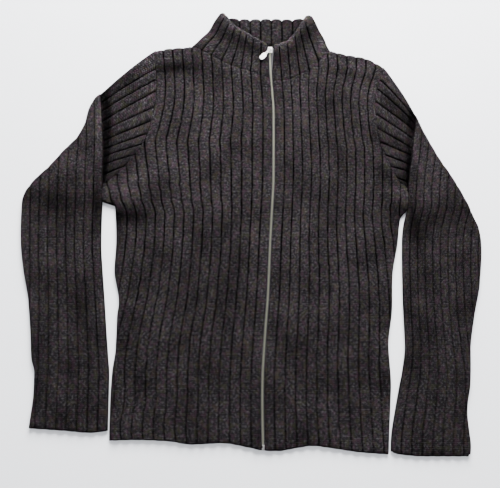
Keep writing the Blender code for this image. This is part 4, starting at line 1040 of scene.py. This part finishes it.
def tapeMaterial():
    kit = NodeKit("wovenTape")
    where = kit.add("ShaderNodeTexCoord", {}, {}, output=3)
    weave = kit.add(
        "ShaderNodeTexWave", {"bands_direction": "Y"},
        {"Vector": where, "Scale": tapeCloth["scale"], "Distortion": 0.6},
    )
    tone = kit.mix(weave, tapeCloth["dark"], tapeCloth["light"])
    bump = kit.add("ShaderNodeBump", {}, {"Strength": 0.5, "Distance": 0.0003, "Height": weave})
    kit.set(Base_Color=tone, Roughness=0.82, Normal=bump)
    return kit.material


def nickelMaterial(name, tone, rough):
    kit = NodeKit(name)
    where = kit.add("ShaderNodeTexCoord", {}, {}, output=3)
    cloud = kit.noise(where, metal["cloudScale"], 3.0, 0.6)
    dull = tuple(channel * metal["dull"] for channel in tone) + (1,)
    colour = kit.mix(kit.ramp(cloud, 0.3, 0.7), dull, tone + (1,))
    bump = kit.add("ShaderNodeBump", {}, {"Strength": 0.15, "Distance": 0.0001, "Height": cloud})
    kit.set(Base_Color=colour, Roughness=cloud * 0.25 + rough, Metallic=1.0, Normal=bump)
    return kit.material


def dress(piece, material, node, body="sweater"):
    piece.data.materials.clear()
    piece.data.materials.append(material)
    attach(piece, body)
    if node:
        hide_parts(node)
    return piece


# Stage

stageSizes = {
    "target": (0.0, -0.044, 0.005), "back": 0.2587, "up": 1.1255, "lens": 48.66,
    "floorWide": 6.0, "floorLevel": -0.0006,
    "floorDark": (0.79, 0.80, 0.83, 1), "floorColour": (0.83, 0.84, 0.86, 1),
    "skyColour": (0.93, 0.95, 1.0, 1), "skyStrength": 1.05,
    # Each light's name, place, size and power.
    "lights": (("window", (0.20, 1.50, 1.10), 1.3, 225), ("fill", (0.9, -1.4, 1.9), 2.4, 14)),
}


def makeStage():
    sizes = stageSizes
    bpy.ops.mesh.primitive_plane_add(size=sizes["floorWide"], location=(0, 0, sizes["floorLevel"]))
    floor = bpy.context.object
    floor.name = "table"
    kit = NodeKit("paleTable")
    where = kit.add("ShaderNodeTexCoord", {}, {}, output=3)
    cloud = kit.noise(where, 3.0, 2.0, 0.5)
    kit.set(Base_Color=kit.mix(cloud, sizes["floorDark"], sizes["floorColour"]), Roughness=0.75)
    floor.data.materials.append(kit.material)
    camera = bpy.data.objects.new("camera", bpy.data.cameras.new("camera"))
    bpy.context.scene.collection.objects.link(camera)
    target = Vector(sizes["target"])
    camera.location = (target.x, target.y - sizes["back"], sizes["up"])
    camera.rotation_euler = (target - camera.location).to_track_quat("-Z", "Y").to_euler()
    camera.data.lens = sizes["lens"]
    camera.data.sensor_width = 36
    bpy.context.scene.camera = camera
    for name, place, size, power in sizes["lights"]:
        light = bpy.data.objects.new(name, bpy.data.lights.new(name, "AREA"))
        light.data.size = size
        light.data.energy = power
        light.location = place
        light.rotation_euler = (Vector((0, 0, 0)) - light.location).to_track_quat("-Z", "Y").to_euler()
        bpy.context.scene.collection.objects.link(light)
    world = bpy.data.worlds.new("room")
    world.use_nodes = True
    sky = world.node_tree.nodes["Background"]
    sky.inputs[0].default_value = sizes["skyColour"]
    sky.inputs[1].default_value = sizes["skyStrength"]
    bpy.context.scene.world = world


marled = yarnMaterial()
woven = tapeMaterial()
nickel = nickelMaterial("nickel", metal["nickel"], metal["nickelRough"])
toothMetal = nickelMaterial("toothMetal", metal["tooth"], metal["toothRough"])


back = dress(makeBack(), marled, "back")
print("back done")
for side in ("right", "left"):
    tape = dress(makeTape(side), woven, f"zip_{side}")
    dress(makeTeeth(side), toothMetal, None)
    front = dress(makeFront(side), marled, f"front_{side}")
    sleeve = dress(makeSleeve(side), marled, f"sleeve_{side}")
    print(side, "side done")
collar = dress(makeCollar(), marled, "collar")
print("collar done")
for node in ("slider", "link", "pull_tab", "zip_box"):
    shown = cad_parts[node]
    shown.data.materials.clear()
    shown.data.materials.append(nickel)
makeStage()
print("stage done")
